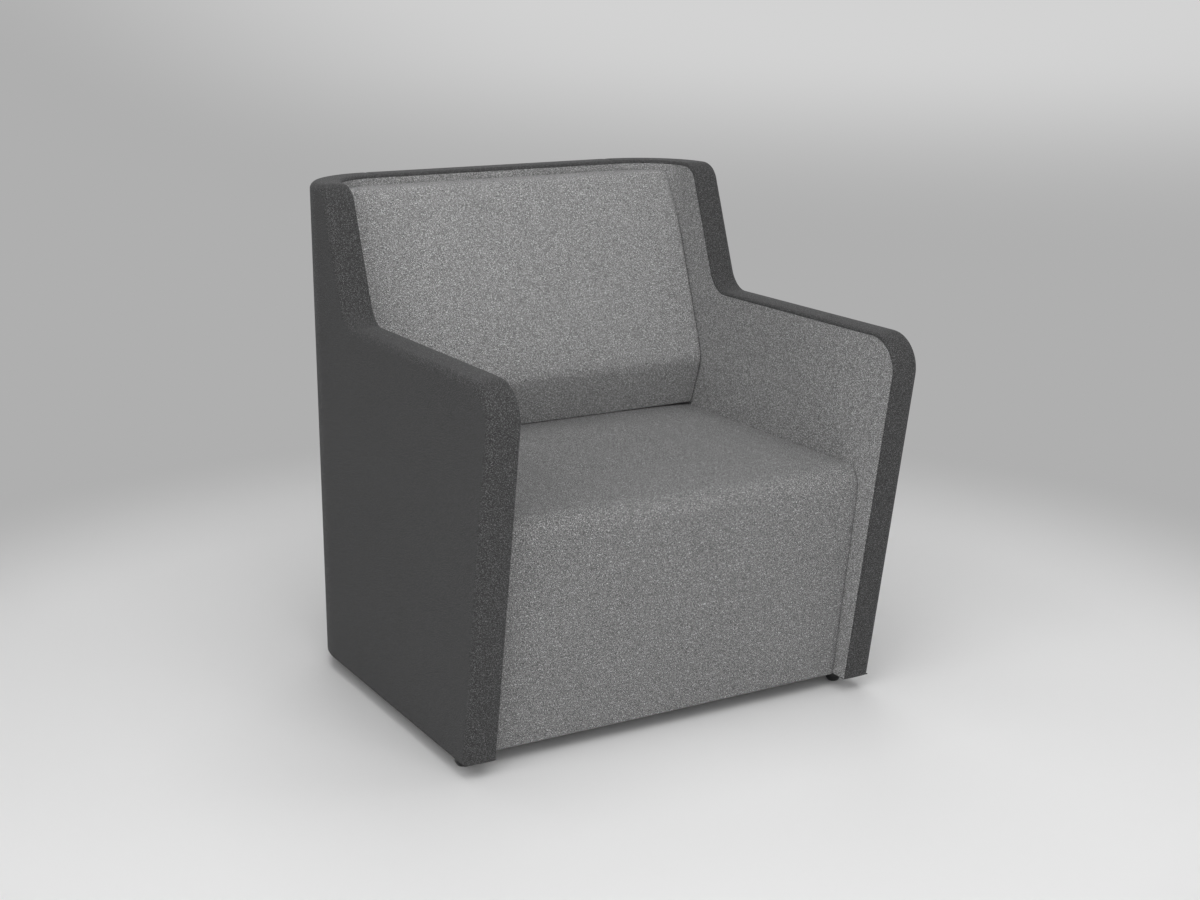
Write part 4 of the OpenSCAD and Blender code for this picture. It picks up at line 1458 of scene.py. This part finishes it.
@dataclass(frozen=True)
class Studio:
    """The pale floor, its backdrop, the lights and the camera.

    Attributes:
        flat_r: Radius of the level floor.
        bend_r: Radius of the curve from the floor to the wall.
        wall_z: Height of the wall.
        eye: Place of the camera.
        yaw: Its turn to the right from the chair's +Y, in radians.
        pitch: Its tilt, upwards positive.
        roll: Its turn about its own axis.
        lens: Its focal length in millimetres, with a sensor of 36 mm.
    """

    flat_r: float = 3.6
    bend_r: float = 3.0
    wall_z: float = 6.5
    eye: Triple = (-1.5141, -2.6657, 1.2196)
    yaw: float = 0.5215
    pitch: float = -0.2567
    roll: float = 0.0008
    lens: float = 55.216

    def floor(self) -> None:
        """Makes the floor, a level disc, a quarter circle and an upright wall turned about Z."""
        bend = np.linspace(0, math.pi / 2, 25)[1:]
        wall_r = self.flat_r + self.bend_r
        radii = np.r_[self.flat_r * np.linspace(0.05, 1, 12), self.flat_r + self.bend_r * np.sin(bend), wall_r]
        heights = np.r_[np.zeros(12), self.bend_r * (1 - np.cos(bend)), self.wall_z]
        points = turned(np.column_stack([radii, heights]), 120)
        mesh = bpy.data.meshes.new("studio_floor")
        mesh.from_pydata(points.reshape(-1, 3), [], [*loft_faces(len(radii), 120, False), list(range(120))])
        mesh.shade_smooth()
        mesh.materials.append(studio_paper())
        linked("studio_floor", mesh)

    def light(self, name: str, place: Triple, aim_z: float, size: Pair, power: float) -> None:
        """Adds a soft rectangular light.

        Args:
            name: Light name.
            place: Its centre.
            aim_z: Height of the point above the origin that it faces.
            size: Its width and height in metres.
            power: Its power in watts.
        """
        light = bpy.data.lights.new(name, "AREA")
        light.shape = "RECTANGLE"
        light.size, light.size_y = size
        light.energy = power
        obj = linked(name, light)
        obj.location = place
        obj.visible_camera = False
        obj.rotation_euler = (Vector((0.0, 0.0, aim_z)) - Vector(place)).to_track_quat("-Z", "Y").to_euler()

    def lights(self) -> None:
        """Sets the studio lights and the faint ambient light."""
        world = bpy.data.worlds.new("studio")
        world.use_nodes = True
        world.node_tree.nodes["Background"].inputs["Color"].default_value = srgb("#ffffff")
        world.node_tree.nodes["Background"].inputs["Strength"].default_value = 0.02
        bpy.context.scene.world = world
        for name, settings in LIGHTS.items():
            self.light(name, *settings)
        bpy.context.scene.view_settings.view_transform = "Standard"

    def camera(self) -> None:
        """Puts the camera where the photograph's was."""
        yaw, pitch, roll = self.yaw, self.pitch, self.roll
        forward = Vector((math.sin(yaw) * math.cos(pitch), math.cos(yaw) * math.cos(pitch), math.sin(pitch)))
        right = Vector((math.cos(yaw), -math.sin(yaw), 0.0))
        up = right.cross(forward)
        right, up = right * math.cos(roll) + up * math.sin(roll), up * math.cos(roll) - right * math.sin(roll)
        data = bpy.data.cameras.new("camera")
        data.sensor_width = 36.0
        data.lens = self.lens
        camera = linked("camera", data)
        camera.matrix_world = Matrix.Translation(self.eye) @ Matrix((right, up, -forward)).transposed().to_4x4()
        bpy.context.scene.camera = camera


# Finishes of the CAD nodes that stay, by the starts of their names.
NODE_FINISHES = (
    (PLYWOOD, ("side_panel", "back_panel", "corner_former", "front_board", "back_board")),
    (BEECH, ("base_rail", "corner_block", "seat_rail", "seat_ledger", "seat_corner")),
    (ZINC, ("frame_", "glide_stud")),
    (INSERT, ("insert_nuts",)),
    (FOAM, ("side_foam", "back_foam")),
    (WEBBING, ("seat_straps",)),
    (UNDER_CLOTH, ("back_strips",)),
)


def finish_nodes(frame: dict) -> None:
    """Gives every CAD node that stays its own material.

    Args:
        frame: The loaded frame.
    """
    for finish, prefixes in NODE_FINISHES:
        material = fabric_material(finish) if isinstance(finish, FabricFinish) else hard_material(finish)
        for node, obj in frame["nodes"].items():
            if node.startswith(prefixes):
                obj.data.materials.clear()
                obj.data.materials.append(material)


def main() -> None:
    """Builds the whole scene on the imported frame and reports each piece."""
    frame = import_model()
    studio = Studio()
    studio.camera()
    finish_nodes(frame)
    LOG.info("materials on %d CAD nodes", len(frame["nodes"]))
    lining = fabric_material(LINING)
    for part in (
        Walls(DIM, fabric_material(SHELL), lining),
        Cushions(DIM, fabric_material(SEAT), lining),
        Glides(DIM, hard_material(GLIDE)),
        Underside(DIM, fabric_material(UNDER_CLOTH), hard_material(STAPLE)),
    ):
        for piece in part.build():
            LOG.info("%s: %s, %d faces", type(part).__name__, piece.name, len(piece.data.polygons))
    studio.floor()
    studio.lights()


if __name__ == "__main__":
    main()
